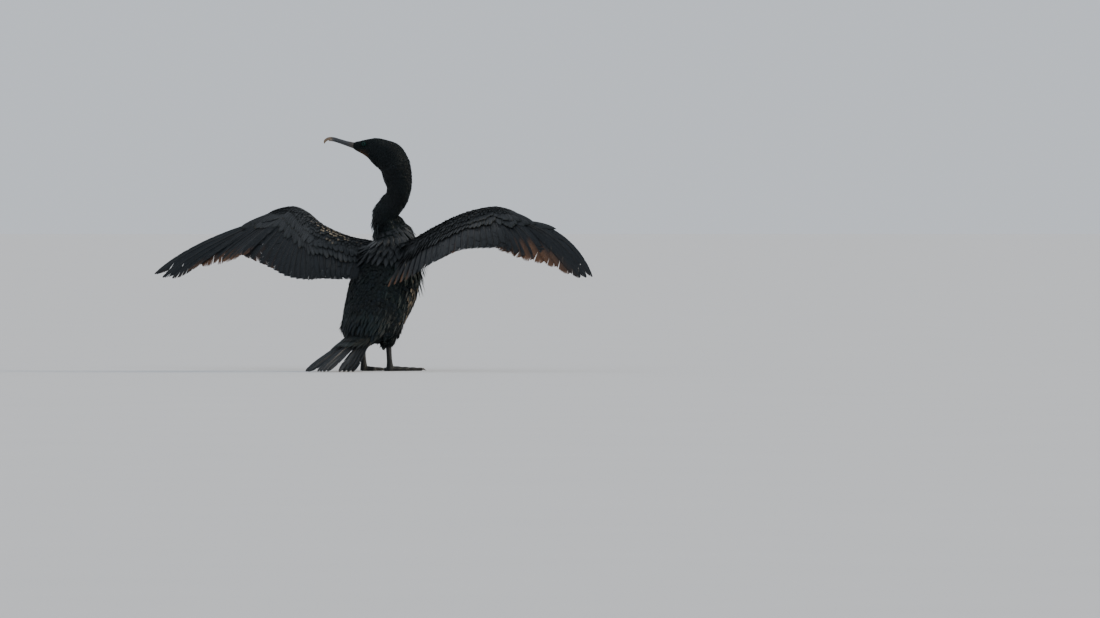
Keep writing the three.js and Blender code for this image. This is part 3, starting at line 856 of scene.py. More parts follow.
skin_surfaces = [tube_surface(), tail_surface()]
for _, side in SIDES:
    skin_surfaces += [on_side(wing_surface(), side), on_side(thigh_surface(), side)]
skin = melted("skin", skin_surfaces, SKIN_VOXEL, 4)
finished(skin, SKIN, "plumage", *BODY_NODES)

skin_search = BVHTree.FromObject(skin, bpy.context.evaluated_depsgraph_get())


def seat(points, depth):
    """The nearest places of the skin, a depth below its surface, and the way it faces there."""
    hits = [skin_search.find_nearest(Vector(point)) for point in metres(points)]
    normals = np.array([hit[1] for hit in hits])
    places = np.array([hit[0] for hit in hits]) * 1000 - CENTRING
    return places - normals * depth, normals


def laid(direction, normal, lift):
    """The direction laid along a surface and lifted off it. lift is rise over run."""
    flat = unit(direction - normal * dot(direction, normal))
    return unit(flat + normal * np.reshape(lift, (-1, 1)))


# %% [markdown]
# ## How a feather is planted
# Every feather, barb and scute is a small closed shape that a Geometry Nodes tree sets on a
# point. The points carry named values: which way the shape aims, which way it faces, its size,
# which shape of a family it is and its tone. The tree turns and scales the shape, makes it real
# mesh, writes the small bake patch at the root's place and sets the finish.

# %% The planting tree
# Width of a feather's own patch on the bake map.
PATCH = 0.003


def add_named(tree, name, kind):
    node = tree.nodes.new("GeometryNodeInputNamedAttribute")
    node.data_type = kind
    node.inputs["Name"].default_value = name
    return node.outputs["Attribute"]


def planting_tree():
    tree = bpy.data.node_groups.new("Plant shapes on points", "GeometryNodeTree")
    face = tree.interface
    face.new_socket("Points", in_out="INPUT", socket_type="NodeSocketGeometry")
    face.new_socket("Shapes", in_out="INPUT", socket_type="NodeSocketCollection")
    face.new_socket("Finish", in_out="INPUT", socket_type="NodeSocketMaterial")
    face.new_socket("Patch size", in_out="INPUT", socket_type="NodeSocketFloat")
    face.new_socket("Pieces", in_out="OUTPUT", socket_type="NodeSocketGeometry")
    add, link = tree.nodes.new, tree.links.new
    given, result = add("NodeGroupInput"), add("NodeGroupOutput")
    family = add("GeometryNodeCollectionInfo")
    family.inputs["Separate Children"].default_value = True
    family.inputs["Reset Children"].default_value = True
    link(given.outputs["Shapes"], family.inputs["Collection"])
    turn = add("FunctionNodeAxesToRotation")
    turn.primary_axis = "Y"
    turn.secondary_axis = "Z"
    link(add_named(tree, "aim", "FLOAT_VECTOR"), turn.inputs[0])
    link(add_named(tree, "face", "FLOAT_VECTOR"), turn.inputs[1])
    plant = add("GeometryNodeInstanceOnPoints")
    plant.inputs["Pick Instance"].default_value = True
    link(given.outputs["Points"], plant.inputs["Points"])
    link(family.outputs[0], plant.inputs["Instance"])
    link(add_named(tree, "shape", "INT"), plant.inputs["Instance Index"])
    link(turn.outputs[0], plant.inputs["Rotation"])
    link(add_named(tree, "size", "FLOAT_VECTOR"), plant.inputs["Scale"])
    real = add("GeometryNodeRealizeInstances")
    link(plant.outputs[0], real.inputs[0])
    patch = add("ShaderNodeVectorMath")
    patch.operation = "MULTIPLY_ADD"
    link(add_named(tree, "Vane", "FLOAT_VECTOR"), patch.inputs[0])
    link(given.outputs["Patch size"], patch.inputs[1])
    link(add_named(tree, "patch", "FLOAT_VECTOR"), patch.inputs[2])
    store = add("GeometryNodeStoreNamedAttribute")
    store.data_type = "FLOAT2"
    store.domain = "CORNER"
    store.inputs["Name"].default_value = "OFBake"
    link(real.outputs[0], store.inputs["Geometry"])
    link(patch.outputs[0], store.inputs["Value"])
    paint = add("GeometryNodeSetMaterial")
    link(store.outputs[0], paint.inputs["Geometry"])
    link(given.outputs["Finish"], paint.inputs["Material"])
    link(paint.outputs[0], result.inputs[0])
    return tree


PLANT = planting_tree()
print("planting tree has", len(PLANT.nodes), "nodes")

# %% Points that shapes are planted on


class Planting:
    """Collects the points of one piece, in millimetres, with what each point says."""

    KINDS = {"aim": 3, "face": 3, "size": 3, "patch": 3, "shape": 1, "tone": 1}

    def __init__(self):
        self.places = []
        self.values = {name: [] for name in self.KINDS}

    def add(self, places, aim, face, size, shape, tone, patch, side=LEFT):
        """size is width, length and thickness. One row, or one number, serves for all points."""
        places = mirrored(np.atleast_2d(places), side)
        count = len(places)
        self.places.append(places)
        patch = np.column_stack([np.broadcast_to(patch, (count, 2)), np.zeros(count)])
        aim, face = mirrored(aim, side), mirrored(face, side)
        given = {"aim": aim, "face": face, "size": size, "patch": patch, "shape": shape, "tone": tone}
        for name, wide in self.KINDS.items():
            full = (count, wide) if wide > 1 else (count,)
            self.values[name].append(np.broadcast_to(given[name], full))

    def made(self, name, shapes, material, slot, *nodes):
        places = metres(np.vstack(self.places))
        mesh = bpy.data.meshes.new(name)
        mesh.vertices.add(len(places))
        mesh.vertices.foreach_set("co", places.ravel())
        for key, parts in self.values.items():
            full = np.concatenate(parts)
            if key == "size":
                full = full * 0.001
            kind = {3: "FLOAT_VECTOR", 1: "INT" if key == "shape" else "FLOAT"}[self.KINDS[key]]
            attribute = mesh.attributes.new(key, kind, "POINT")
            number = np.int32 if kind == "INT" else np.float32
            field = "vector" if kind == "FLOAT_VECTOR" else "value"
            attribute.data.foreach_set(field, np.ascontiguousarray(full.ravel(), number))
        holder = shown(name, mesh)
        modifier = holder.modifiers.new("plant", "NODES")
        modifier.node_group = PLANT
        inputs = {"Shapes": shapes, "Finish": material, "Patch size": PATCH}
        for item in PLANT.interface.items_tree:
            if item.in_out == "INPUT" and item.name in inputs:
                modifier[item.identifier] = inputs[item.name]
        holder.data = evaluated_mesh(holder)
        holder.modifiers.clear()
        for spare in ("aim", "face", "size", "patch", "shape"):
            found = holder.data.attributes.get(spare)
            if found:
                holder.data.attributes.remove(found)
        holder.data.shade_smooth()
        return finished(holder, material, slot, *nodes)


print("each point says", sorted(Planting.KINDS))

# %% [markdown]
# ## Families of shapes
# A small feather is a closed, slightly arched blade: a few columns across, a keel below, a
# rounded or pointed end. A barb, the strip that makes up a flight feather's vane, is the same
# blade with a single ridge, and a scute is a short, thick one. Each is one unit long and one wide,
# so the points set the real size. Hair, soft and contour feathers part into loose slips.

# %% Blades


class Shape:
    """Collects closed lofts into one small mesh with the map "Vane", across and along from 0 to 1."""

    def __init__(self):
        self.points, self.faces = [], []

    def blade(self, sections, spots, camber=0.5, keel=0.35, lean=0.0, shift=0.0, rise=0.0):
        """sections are (along, half width), spots are -1 to 1 across each. A keel closes it below."""
        start = len(self.points)
        for along, half in sections:
            middle = shift + lean * along
            for spot in spots:
                arch = camber * (1 - spot * spot) * (half / 0.5)
                self.points.append((middle + spot * half, along, arch + rise))
            if keel:
                self.points.append((middle, along, rise - keel * (half / 0.5)))
        wide = len(spots) + (1 if keel else 0)
        self.faces += loft_faces(len(sections), wide, start)
        return self

    def made(self, name):
        mesh = bpy.data.meshes.new(name)
        mesh.from_pydata(self.points, [], self.faces)
        layer = mesh.uv_layers.new(name="Vane")
        for loop in mesh.loops:
            x, y, _ = self.points[loop.vertex_index]
            layer.data[loop.index].uv = (min(max(x + 0.5, 0), 1), y)
        made = bpy.data.objects.new(name, mesh)
        outward(made)
        mesh.shade_smooth()
        return made


def family(name, shapes):
    group = bpy.data.collections.new(name)
    for i, shape in enumerate(shapes):
        group.objects.link(shape.made(f"{name}_{i}"))
    print(name, [count_triangles(made) for made in group.objects], "triangles each")
    return group


def outline(along, fullest, pointed, root=0.35):
    """Half width of a feather along its length: rises from the root, then closes to the tip."""
    along = np.asarray(along, float)
    rise = root + (1 - root) * np.sin(np.clip(along / fullest, 0, 1) * np.pi / 2)
    fall = np.clip((along - fullest) / (1 - fullest), 0, 1)
    return 0.5 * rise * np.maximum(1 - fall ** 2.0, 0) ** pointed


def stations(steps, fullest, pointed, ragged, seed):
    rough = np.random.default_rng(seed)
    along = 1 - (1 - np.linspace(0, 1, steps)) ** 1.7
    half = outline(along, fullest, pointed) * (1 + ragged * rough.uniform(-1, 1, steps))
    half[-1] = 0.03
    return list(zip(along, half))


def wisp(seed, slips, narrow):
    """A few fine slips that start together and part towards their tips, as wet barbs do."""
    rough = np.random.default_rng(seed)
    shape = Shape()
    for place in np.linspace(-1, 1, slips):
        tip = 1 - 0.16 * abs(place) - rough.uniform(0, 0.14)
        shift, spread = place * 0.16, place * 0.26 + rough.uniform(-0.08, 0.08)
        widths = [(0, narrow * 0.7), (tip * 0.5, narrow), (tip, 0.02)]
        shape.blade(widths, (-1, 1), keel=0.4, lean=spread, shift=shift, rise=rough.uniform(0, 0.25))
    return shape


def contour(seed):
    """A body feather: a soft rounded vane with three loose slips over its end."""
    rough = np.random.default_rng(seed)
    shape = Shape().blade([(0, 0.16), (0.35, 0.42), (0.68, 0.44), (0.9, 0.14)], (-1, 0, 1), keel=0.3)
    for place in (-1, 0, 1):
        tip = 1 - 0.1 * abs(place) - rough.uniform(0, 0.08)
        spread = place * 0.2 + rough.uniform(-0.06, 0.06)
        shape.blade([(0.3, 0.13), (tip, 0.02)], (-1, 1), keel=0.2, lean=spread, shift=place * 0.12, rise=0.5)
    return shape


def plain(steps, fullest, pointed, ragged, seed):
    return Shape().blade(stations(steps, fullest, pointed, ragged, seed), (-1, -0.5, 0, 0.5, 1), 0.7)


print("faces of one contour feather", len(contour(0).faces))

# %% Feather, barb and scute families
BARB_STATIONS = [(0, 0.5), (0.5, 0.5), (0.85, 0.4), (1, 0.12)]
SCUTE_STATIONS = [(0, 0.36), (0.25, 0.5), (0.75, 0.5), (1, 0.34)]
HAIR = family("hair_feathers", [wisp(40 + i, 2, 0.2) for i in range(4)])
SOFT = family("soft_feathers", [wisp(i, 3, 0.17) for i in range(4)])
CONTOUR = family("contour_feathers", [contour(10 + i) for i in range(4)])
COVERT = family("covert_feathers", [plain(8, 0.5, 0.5 + 0.08 * i, 0.03, 20 + i) for i in range(4)])
POINTED = family("pointed_feathers", [plain(8, 0.4, 1.0 + 0.12 * i, 0.04, 30 + i) for i in range(4)])
BARB = family("barbs", [Shape().blade(BARB_STATIONS, (-1, 0, 1), 0.6, keel=0)])
SCUTE = family("scutes", [Shape().blade(SCUTE_STATIONS, (-1, -0.4, 0.4, 1), 0.8, keel=0.3)])

# %% [markdown]
# ## Flight feathers
# The rows of long feathers are worked out the same way for hand, arm and tail: roots on one line,
# tips on another, and each feather rolled a little so that its outer edge lies over the next one
# out. A vane is planted barb by barb from the shaft to its outline. Barbs cling together in
# clumps, as they do on a wet bird, which opens the small splits along the edges.

# %% One flight feather
ROLL = math.radians(8)


class Feather:
    """A long feather: its shaft, its two vanes and its axes, in millimetres."""

    def __init__(self, root, tip, outer, face, bow=0.0, sweep=0.0, roll=ROLL, pointed=0.5, side=LEFT):
        root, tip, outer, face = (mirrored(v, side) for v in (root, tip, outer, face))
        self.root, self.tip = root, tip
        self.length = float(np.linalg.norm(tip - root))
        self.along = unit(tip - root)
        self.flat = unit(outer - self.along * dot(outer, self.along))
        self.flat_up = np.cross(self.flat, self.along)
        if np.dot(self.flat_up, face) < 0:
            self.flat_up = -self.flat_up
        self.across = self.flat * math.cos(roll) + self.flat_up * math.sin(roll)
        self.up = self.flat_up * math.cos(roll) - self.flat * math.sin(roll)
        self.bow, self.sweep, self.pointed = bow, sweep, pointed
        self.width, self.fullest, self.outer_share = 18.5, 0.72, 0.42
        self.wear, self.wear_and_backlight_from = 0.3, 0.6

    def cut(self, share):
        self.tip = self.root + (self.tip - self.root) * share
        self.length = self.length * share

    def shaft(self, share):
        share = np.atleast_1d(np.asarray(share, float))[:, None]
        arch = 4 * np.maximum(share, 0) * (1 - share)
        line = self.root + (self.tip - self.root) * share
        return line + self.flat_up * (self.bow * arch) + self.flat * (self.sweep * arch)

    def edge(self, share, hand):
        """Outline of the vane on the outer side (hand 1) or the inner side (hand -1)."""
        part = self.outer_share if hand > 0 else 1 - self.outer_share
        half = (outline(share, self.fullest, self.pointed, 0.5) * 2 * self.width * part)[:, None]
        return self.shaft(share) + self.across * (half * hand) - self.up * (half * 0.10)


print("feathers are rolled by", round(math.degrees(ROLL)), "degrees")

# %% Rows of flight feathers
WRIST_SWEEP = 0.01
ARM_BOW = 0.035


def flight_row(roots, tips, count, side, bow, sweep, pointed):
    """Feathers from one line to another. bow and sweep are shares of each one's length."""
    share = np.linspace(0, 1, count)
    sweep, pointed = (np.broadcast_to(given, count) for given in (sweep, pointed))

    def place(at):
        return roots.at(at * roots.last), tips.at(at * tips.last)

    def middle(at):
        root, tip = place(at)
        return root * 0.45 + tip * 0.55

    root, tip = place(share)
    outer = unit(middle(np.maximum(share - 0.03, 0)) - middle(np.minimum(share + 0.03, 1)))
    face = unit(np.cross(outer, tip - root))
    face = face * np.where(face[:, 2:] < 0, -1.0, 1.0)
    length = np.linalg.norm(tip - root, axis=1)
    return [
        Feather(root[i], tip[i], outer[i], face[i], bow * length[i], sweep[i] * length[i],
                pointed=pointed[i], side=side)
        for i in range(count)
    ]


def hand_row(side, count, pointed=0.5):
    sweep = np.linspace(HAND_SWEEP[side], WRIST_SWEEP, count)
    return flight_row(hand_roots, hand_tips[side], count, side, HAND_BOW[side], sweep, pointed)


def arm_row(side, count, pointed=0.5):
    return flight_row(arm_roots, arm_tips[side], count, side, ARM_BOW, 0.0, pointed)


print("first hand feather", round(hand_row(LEFT, 2)[0].length), "mm")

# %% Barbs and shafts
BARB_STEP = 1.35
BARB_THICK = 0.45
BARB_REACH = 0.11
# How often a clump of barbs ends, and how far it may shift along the feather.
CLUMP_ENDS = 0.11
CLUMP_SHIFT = 0.005
# How far into the flesh a shaft starts.
SUNK = 9
# A way that no rod runs, from which the way across each is worked out.
GUIDE = (0.3, 0.2, 0.93)


def plant_barbs(planting, feather, cell):
    """Barbs of both vanes. cell is the feather's own corner, width and height on the bake map."""
    for hand in (1, -1):
        count = int(feather.length * 0.94 / BARB_STEP)
        start = np.linspace(0.05, 0.992, count)
        end = start + np.minimum(BARB_REACH * (1.15 - 0.45 * start), (1 - start) * 0.92)
        groups = np.cumsum(dice.random(count) < CLUMP_ENDS)
        for group in np.unique(groups):
            mine = groups == group
            pull = dice.uniform(0.78, 1.0)
            shift = dice.normal(0, CLUMP_SHIFT)
            end[mine] = end[mine].mean() + (end[mine] - end[mine].mean()) * pull + shift
        end = np.clip(end, start + 0.004, 0.9995)
        root = feather.shaft(start)
        tip = feather.edge(end, hand)
        tip = root + (tip - root) * dice.uniform(0.95, 1.0, count)[:, None]
        aim = tip - root
        length = np.linalg.norm(aim, axis=1)
        face = np.broadcast_to(feather.up + feather.along * 0.16, aim.shape)
        size = columns(BARB_STEP * 1.05, length, BARB_THICK)
        # Brown on the barbs, partly real wear and partly painted light shining through the vane: the outer
        # vane only at its tip, the inner one further in.
        if hand > 0:
            wear = feather.wear * 0.45 * ease(0.9, 1.0, end)
        else:
            wear = feather.wear * ease(feather.wear_and_backlight_from, feather.wear_and_backlight_from + 0.25, end)
        tone = np.clip(wear + dice.normal(0, 0.03, count), 0, 1)
        u0, v0, wide_cell, high_cell = cell
        patch = columns(u0 + wide_cell * (0.5 + 0.25 * hand), v0 + high_cell * start)
        planting.add(root, unit(aim), unit(face), size, 0, tone, patch)


def tubes(name, lines, sides=6):
    """Closed tapering rods along lines of points, each line with its radii."""
    parts = []
    for line, radii in lines:
        along = unit(np.gradient(line, axis=0))
        across = unit(np.cross(along, GUIDE))
        points = ovals(line, across, np.cross(across, along), radii, radii, sides)
        parts.append((points, loft_faces(len(line), sides)))
    return outward(new_object(name, *joined(parts)))


def shaft_line(feather, thick=1.0):
    share = np.linspace(-SUNK / feather.length, 0.985, 14)
    radii = np.interp(share, [-0.1, 0.15, 1], [1.15, 0.85, 0.22]) * thick
    return feather.shaft(share) + feather.up * 0.15, radii


print("one barb every", BARB_STEP, "mm")

# %% Flight feathers of both wings


def between(one, other):
    """The small feather at the wrist, halfway between two others."""
    made = copy.copy(one)
    made.root, made.tip = (one.root + other.root) / 2, (one.tip + other.tip) / 2
    made.length = float(np.linalg.norm(made.tip - made.root))
    made.along = unit(made.tip - made.root)
    made.flat = unit(one.flat - made.along * dot(one.flat, made.along))
    made.flat_up = unit(np.cross(made.flat, made.along))
    made.flat_up *= np.sign(np.dot(made.flat_up, one.flat_up))
    made.up = unit(one.up - made.along * dot(one.up, made.along))
    made.across = unit(one.across - made.along * dot(one.across, made.along))
    made.sweep, made.pointed = 0.0, 0.4
    return made


PRIMARIES, ARM_FEATHERS = 10, 20
# The hand's feathers from the outermost in, as feather numbers and what they have there.
HAND_POINTED = ([0, 3, 6, 9], [0.62, 0.5, 0.34, 0.3])
HAND_WIDTHS = ([0, 2, 5, 9], [21, 25, 30, 29])
HAND_FULLEST = ([0, 4, 9], [0.66, 0.84, 0.9])
# How brown each hand feather turns: partly real wear, partly painted light shining through it.
HAND_WEAR_AND_BACKLIGHT = (0.25, 0.2, 0.3, 0.6, 0.8, 1.0, 0.9, 0.8, 0.7, 0.6)
# The share of its way to the line of tips that each blunt hand feather reaches.
HAND_CUT = {
    LEFT: ([0, 3, 5, 8, 9], [1.01, 0.95, 0.935, 0.955, 0.98]),
    RIGHT: ([0, 3, 5, 8, 9], [1.0, 0.955, 0.94, 0.965, 0.98]),
}
# From which share of a hand feather its inner vane turns brown, partly from real wear and partly from
# painted light shining through it.
WEAR_AND_BACKLIGHT_FROM = {LEFT: 0.7, RIGHT: 0.52}
# The arm's feathers from the wrist to the body.
ARM_POINTED = ([0, 15, 19], [0.3, 0.36, 0.7])
ARM_WIDTHS = ([0, 3, 7], [33, 30, 25])
# How brown each arm feather turns: partly real wear, partly painted light shining through it.
ARM_WEAR_AND_BACKLIGHT = {
    LEFT: ([0, 2, 5, 8, 19], [0.5, 0.7, 0.45, 0.1, 0.08]),
    RIGHT: ([0, 2, 6, 7, 8, 10, 14, 16, 19], [0.4, 0.25, 0.2, 0.9, 0.3, 0.15, 0.35, 0.85, 0.8]),
}


flights = {}
for name, side in SIDES:
    hand = hand_row(side, PRIMARIES, np.interp(np.arange(PRIMARIES), *HAND_POINTED))
    arm = arm_row(side, ARM_FEATHERS, np.interp(np.arange(ARM_FEATHERS), *ARM_POINTED))
    for i, feather in enumerate(hand):
        feather.cut(np.interp(i, *HAND_CUT[side]))
        feather.width = np.interp(i, *HAND_WIDTHS)
        feather.fullest = np.interp(i, *HAND_FULLEST)
        feather.outer_share = 0.3 + 0.012 * i
        feather.wear, feather.wear_and_backlight_from = HAND_WEAR_AND_BACKLIGHT[i], WEAR_AND_BACKLIGHT_FROM[side]
    for i, feather in enumerate(arm):
        feather.wear = float(np.interp(i, *ARM_WEAR_AND_BACKLIGHT[side]) * dice.uniform(0.5, 1.3))
        feather.width = np.interp(i, *ARM_WIDTHS)
        feather.fullest = 0.87
    wrist = between(hand[-1], arm[0])
    flights[side] = hand + [wrist] + arm
    vanes = Planting()
    for i, feather in enumerate(flights[side]):
        plant_barbs(vanes, feather, (0.02 + 0.031 * i, 0.04, 0.027, 0.9))
    wing_nodes = (f"wing_{name}_arm", f"wing_{name}_hand")
    vanes.made(f"wing_{name}_vanes", BARB, FLIGHT, "flight_feathers", *wing_nodes)
    shafts = tubes(f"wing_{name}_shafts", [shaft_line(feather) for feather in flights[side]])
    finished(shafts, SHAFTS, "flight_feathers")

# %% [markdown]
# ## Coverts
# Over the roots of the flight feathers lie the coverts, tier on tier, getting smaller towards the
# leading edge, on both sides of the wing. The two largest tiers are placed on the flight
# feathers they cover, and the thumb's few stiff ones along the hand's first feather. The small
# ones follow the flesh of the wing.

# %% Coverts of the wings
# Two tiers above and two below: where they start and end along the flight feathers, how high they
# lie off them there, and how wide they are.
TIERS = [
    {"from": -4, "to": 46, "low": 1.2, "high": 3.0, "width": 15},
    {"from": -8, "to": 24, "low": 2.4, "high": 4.6, "width": 14},
    {"from": -4, "to": 42, "low": -1.2, "high": -3.0, "width": 15},
    {"from": -8, "to": 18, "low": -2.2, "high": -4.4, "width": 14},
]
# Angles round the wing's flesh at which the rows of small coverts start, above (1) and below (-1).
SMALL_ROWS = {
    1: (1, 8, 18, 29, 42, 56, 70, 85, 101, 118, 134),
    -1: (-4, -14, -26, -40, -56, -74, -94, -114),
}
SMALL_LENGTHS = ([0, 0.5, 2.2], [6.5, 11, 22])
# The span they cover, and how far apart they are as a share of their length.
COVERED_SPAN, SMALL_GAP = 300, 0.27
# Where sunlight is painted on the small coverts of the left wing, by row and angle of its flesh.
SUNNY = {"row": 2.6, "span": 0.6, "angle": 0.8, "turn": 0.5}


def over_row(row, distance, height):
    """Points over the flight feathers, a distance along them and a height off their face."""
    share = np.array([distance / feather.length for feather in row])
    points = np.array([feather.shaft(s)[0] for feather, s in zip(row, share)])
    return points + np.array([feather.flat_up for feather in row]) * height


def tier_points(planting, row, tier, region):
    root = over_row(row, tier["from"], tier["low"])
    tip = over_row(row, tier["to"], tier["high"])
    aim = tip - root
    length = np.linalg.norm(aim, axis=1) * dice.uniform(0.82, 1.1, len(row))
    up = np.array([feather.up for feather in row]) * np.sign(tier["high"])
    face = unit(up + np.array([feather.flat for feather in row]) * -0.1)
    size = columns(tier["width"], length, 1.0)
    patch = columns(np.linspace(0.05, 0.93, len(row)), region)
    planting.add(root, unit(aim), face, size, dice.integers(0, 4, len(row)), dice.random(len(row)), patch)


def down_wing(row, angle, length, lean, proud):
    """Where a feather that starts here, leans outwards and lies along the flesh ends."""
    span = np.linalg.norm(wing_lead.at(row + 0.5) - wing_lead.at(row - 0.5), axis=1)
    row = row + lean * length / span
    chord = wing_trail.at(row) - wing_lead.at(row)
    wide = np.linalg.norm(chord, axis=1)
    share = (1 - np.cos(angle)) / 2 + length / wide
    turn = np.arccos(1 - 2 * np.minimum(share, 1)) * np.sign(angle)
    return on_wing(row, turn, proud) + chord * np.maximum(share - 1, 0)[:, None]


def small_coverts(planting, side, face):
    """Overlapping rows from the leading edge back, and from the shoulder out to the hand."""
    angles = np.radians(SMALL_ROWS[face])
    for k, (angle, length) in enumerate(zip(angles, np.interp(np.abs(angles), *SMALL_LENGTHS))):
        count = int(COVERED_SPAN / (length * SMALL_GAP))
        row = np.linspace(0.7, 6.9, count) + dice.normal(0, 0.02, count) + 0.02 * (k % 2)
        row = np.clip(row, 0, 6.98)
        turn = angle + dice.normal(0, 0.03, count)
        place = on_wing(row, turn, -1.0)
        normal = wing_lie(row, turn)
        lean = np.interp(row, [0, 3, 5, 7], [-0.25, 0.05, 0.25, 0.75])
        aim = unit(down_wing(row, turn, length, lean, 2.3) - place)
        aim = unit(aim + dice.normal(0, 0.035, (count, 3)))
        size = columns(length * 0.5, length * dice.uniform(1.0, 1.3, count), 0.65)
        patch = columns(0.05 + 0.9 * row / 7, (0.305 if face < 0 else 0.3) + 0.06 * k)
        tone = dice.random(count)
        # Coverts in the sunny patch get a tone above 1, which the finish paints as sunlight.
        if side == LEFT and face > 0:
            across = ((row - SUNNY["row"]) / SUNNY["span"]) ** 2
            sunny = np.exp(-across - ((angle - SUNNY["angle"]) / SUNNY["turn"]) ** 2)
            tone = np.where(dice.random(count) < sunny, 1.2 + 0.6 * sunny, tone)
        planting.add(place, aim, normal, size, dice.integers(0, 4, count), tone, patch, side)


print("rows of small coverts above and below", [len(rows) for rows in SMALL_ROWS.values()])

# %% Thumb feathers and all coverts planted
ALULA = {"root": (222, -65, 300), "reach": 0.16, "width": 11, "count": 4, "step": 0.16}
# The loose covert that juts from the right hand's leading edge: from and to which share of it.
LOOSE_COVERT = {"from": 0.05, "to": 0.43, "sunk": -3.0, "proud": 3.2, "width": 12}


def plant_alula(planting, side):
    """The few small stiff feathers on the thumb, which lie along the hand's leading edge."""
    first = flights[side][0]
    root = mirrored(ALULA["root"], side)
    tip = first.edge(np.array([ALULA["reach"]]), 1)[0] + first.up * 2.5
    for k in range(ALULA["count"]):
        start = root - first.across * (1.6 * k) + first.up * (0.5 * (ALULA["count"] - k))
        end = root + (tip - root) * (1 - ALULA["step"] * k) - first.across * (2.2 * k)
        size = (ALULA["width"], float(np.linalg.norm(end - start)), 1.2)
        planting.add(start, unit(end - start), first.up, size, k % 4, 0.3, (0.95, 0.02 + 0.01 * k))
    if side == RIGHT:
        edge = first.edge(np.array([LOOSE_COVERT["from"], LOOSE_COVERT["to"]]), 1)
        start = edge[0] + first.across * LOOSE_COVERT["sunk"] + first.up * 1.5
        end = edge[1] + first.across * LOOSE_COVERT["proud"] + first.up * 1.5
        size = (LOOSE_COVERT["width"], float(np.linalg.norm(end - start)), 1.3)
        planting.add(start, unit(end - start), first.up, size, 3, 0.1, (0.95, 0.08))


for name, side in SIDES:
    big = Planting()
    for row, region in ((hand_row(side, 12), 0.08), (arm_row(side, 26), 0.06)):
        for k, tier in enumerate(TIERS):
            tier_points(big, row, tier, region + 0.05 * k)
    plant_alula(big, side)
    big.made(f"wing_{name}_coverts", COVERT, COVERTS, "flight_feathers")
    small = Planting()
    for face in (1, -1):
        small_coverts(small, side, face)
    small.made(f"wing_{name}_small_coverts", COVERT, COVERTS, "plumage")

# %% [markdown]
# ## Tail
# Twelve stiff feathers fan out from the stump. Wet, they cling in three clumps. The middle one
# lies on top, the rest are rolled like the wing's, and the tips of all twelve lie on the floor.

# %% Tail feathers
# How far each feather is turned, in degrees, so that the twelve gather in three clumps.
CLUMPS = (-0.7, -1.6, -2.5, -3.4, 1.4, 0.5, -0.5, -1.4, 3.4, 2.5, 1.6, 0.7)
TAIL_SPREAD = 15
# How far from the tail's root its feathers and coverts are measured from.
TAIL_START = 22


def rectrix(i, count, turned=0.0, roll=ROLL, lift=0.0):
    share = i / (count - 1) * 2 - 1
    turn = math.radians(share * TAIL_SPREAD + turned)
    reach = TAIL["length"] + (TAIL["outer"] - TAIL["length"]) * share * share
    fall = tail_fall(reach)
    flat = reach * math.cos(fall)
    start = TAIL["root"] + np.array([share * TAIL["width"] / 2, 0, 0])
    end = start + np.array([math.sin(turn) * flat, math.cos(turn) * flat, -TAIL["root"][2] + 1.1])
    face = np.array([0, math.sin(fall), math.cos(fall)])
    start = start + (end - start) * (TAIL_START / reach) + face * lift
    return Feather(start, end, np.array([np.sign(share), 0, 0]), face, 2.0, 0.0, roll)


def above_floor(points, clearance=0.25):
    points = np.array(points)
    points[:, 2] = np.maximum(points[:, 2], clearance)
    return points


tail_feathers = []
for i, turned in enumerate(CLUMPS):
    top = i == len(CLUMPS) // 2
    tail_feathers.append(rectrix(i, len(CLUMPS), turned, 0.0 if top else ROLL, 2.4 if top else 0.0))
    # Brown of each tail feather: partly real wear, partly painted light shining through it.
    tail_feathers[-1].wear = float(dice.uniform(0.1, 0.35))
tail_vanes = Planting()
for i, feather in enumerate(tail_feathers):
    plant_barbs(tail_vanes, feather, (0.03 + 0.078 * i, 0.04, 0.07, 0.9))
tail_vanes.made("tail_vanes", BARB, FLIGHT, "flight_feathers", "tail")
finished(tubes("tail_shafts", [shaft_line(f, 1.25) for f in tail_feathers]), SHAFTS, "flight_feathers")

# %% Tail coverts
# The coverts' side, start, end, height and count, from the longest tier to the shortest.
TAIL_COVERTS = (
    (1, 8, 84, 5.5, 16), (1, 2, 62, 7.5, 14), (1, -6, 40, 8.5, 12),
    (-1, 8, 78, -5.0, 15), (-1, 2, 56, -7.5, 13), (-1, -6, 36, -9.0, 11),
)
tail_coverts = Planting()
for face, start, stop, height, count in TAIL_COVERTS:
    row = [rectrix(i, count) for i in range(count)]
    root = over_row(row, start - TAIL_START, height * 0.6)
    aim = over_row(row, stop - TAIL_START, height) - root
    length = np.linalg.norm(aim, axis=1) * dice.uniform(0.88, 1.05, count)
    size = columns(13.0, length, 1.0)
    up = np.array([feather.up for feather in row]) * face
    patch = columns(np.linspace(0.1, 0.9, count), 0.5 + 0.05 * height / 10)
    shape, tone = dice.integers(0, 4, count), dice.random(count) * 0.5
    tail_coverts.add(root, unit(aim), up, size, shape, tone, patch)
tail_coverts.made("tail_coverts", POINTED, BODY_FEATHERS, "plumage")

# %% [markdown]
# ## Body feathers
# Small feathers are rooted in rows round the tube, tailward, each row half hidden by the one
# above. They are shortest on the face, hair-like on the neck and longest on the breast and
# flanks. Where the bill, the gape and the eyes are bare, none are planted.

# %% Where body feathers grow
# Lengths of the feathers along the tube's rows, and their spacing as shares of that length.
LENGTHS = ([0, 1, 4, 7, 9, 12, 14, 15, 17.5, 20], [20, 24, 25, 22, 15, 10.5, 8, 6.8, 5.5, 3.6])
SPACING_ROUND, SPACING_ALONG = 0.24, 0.26
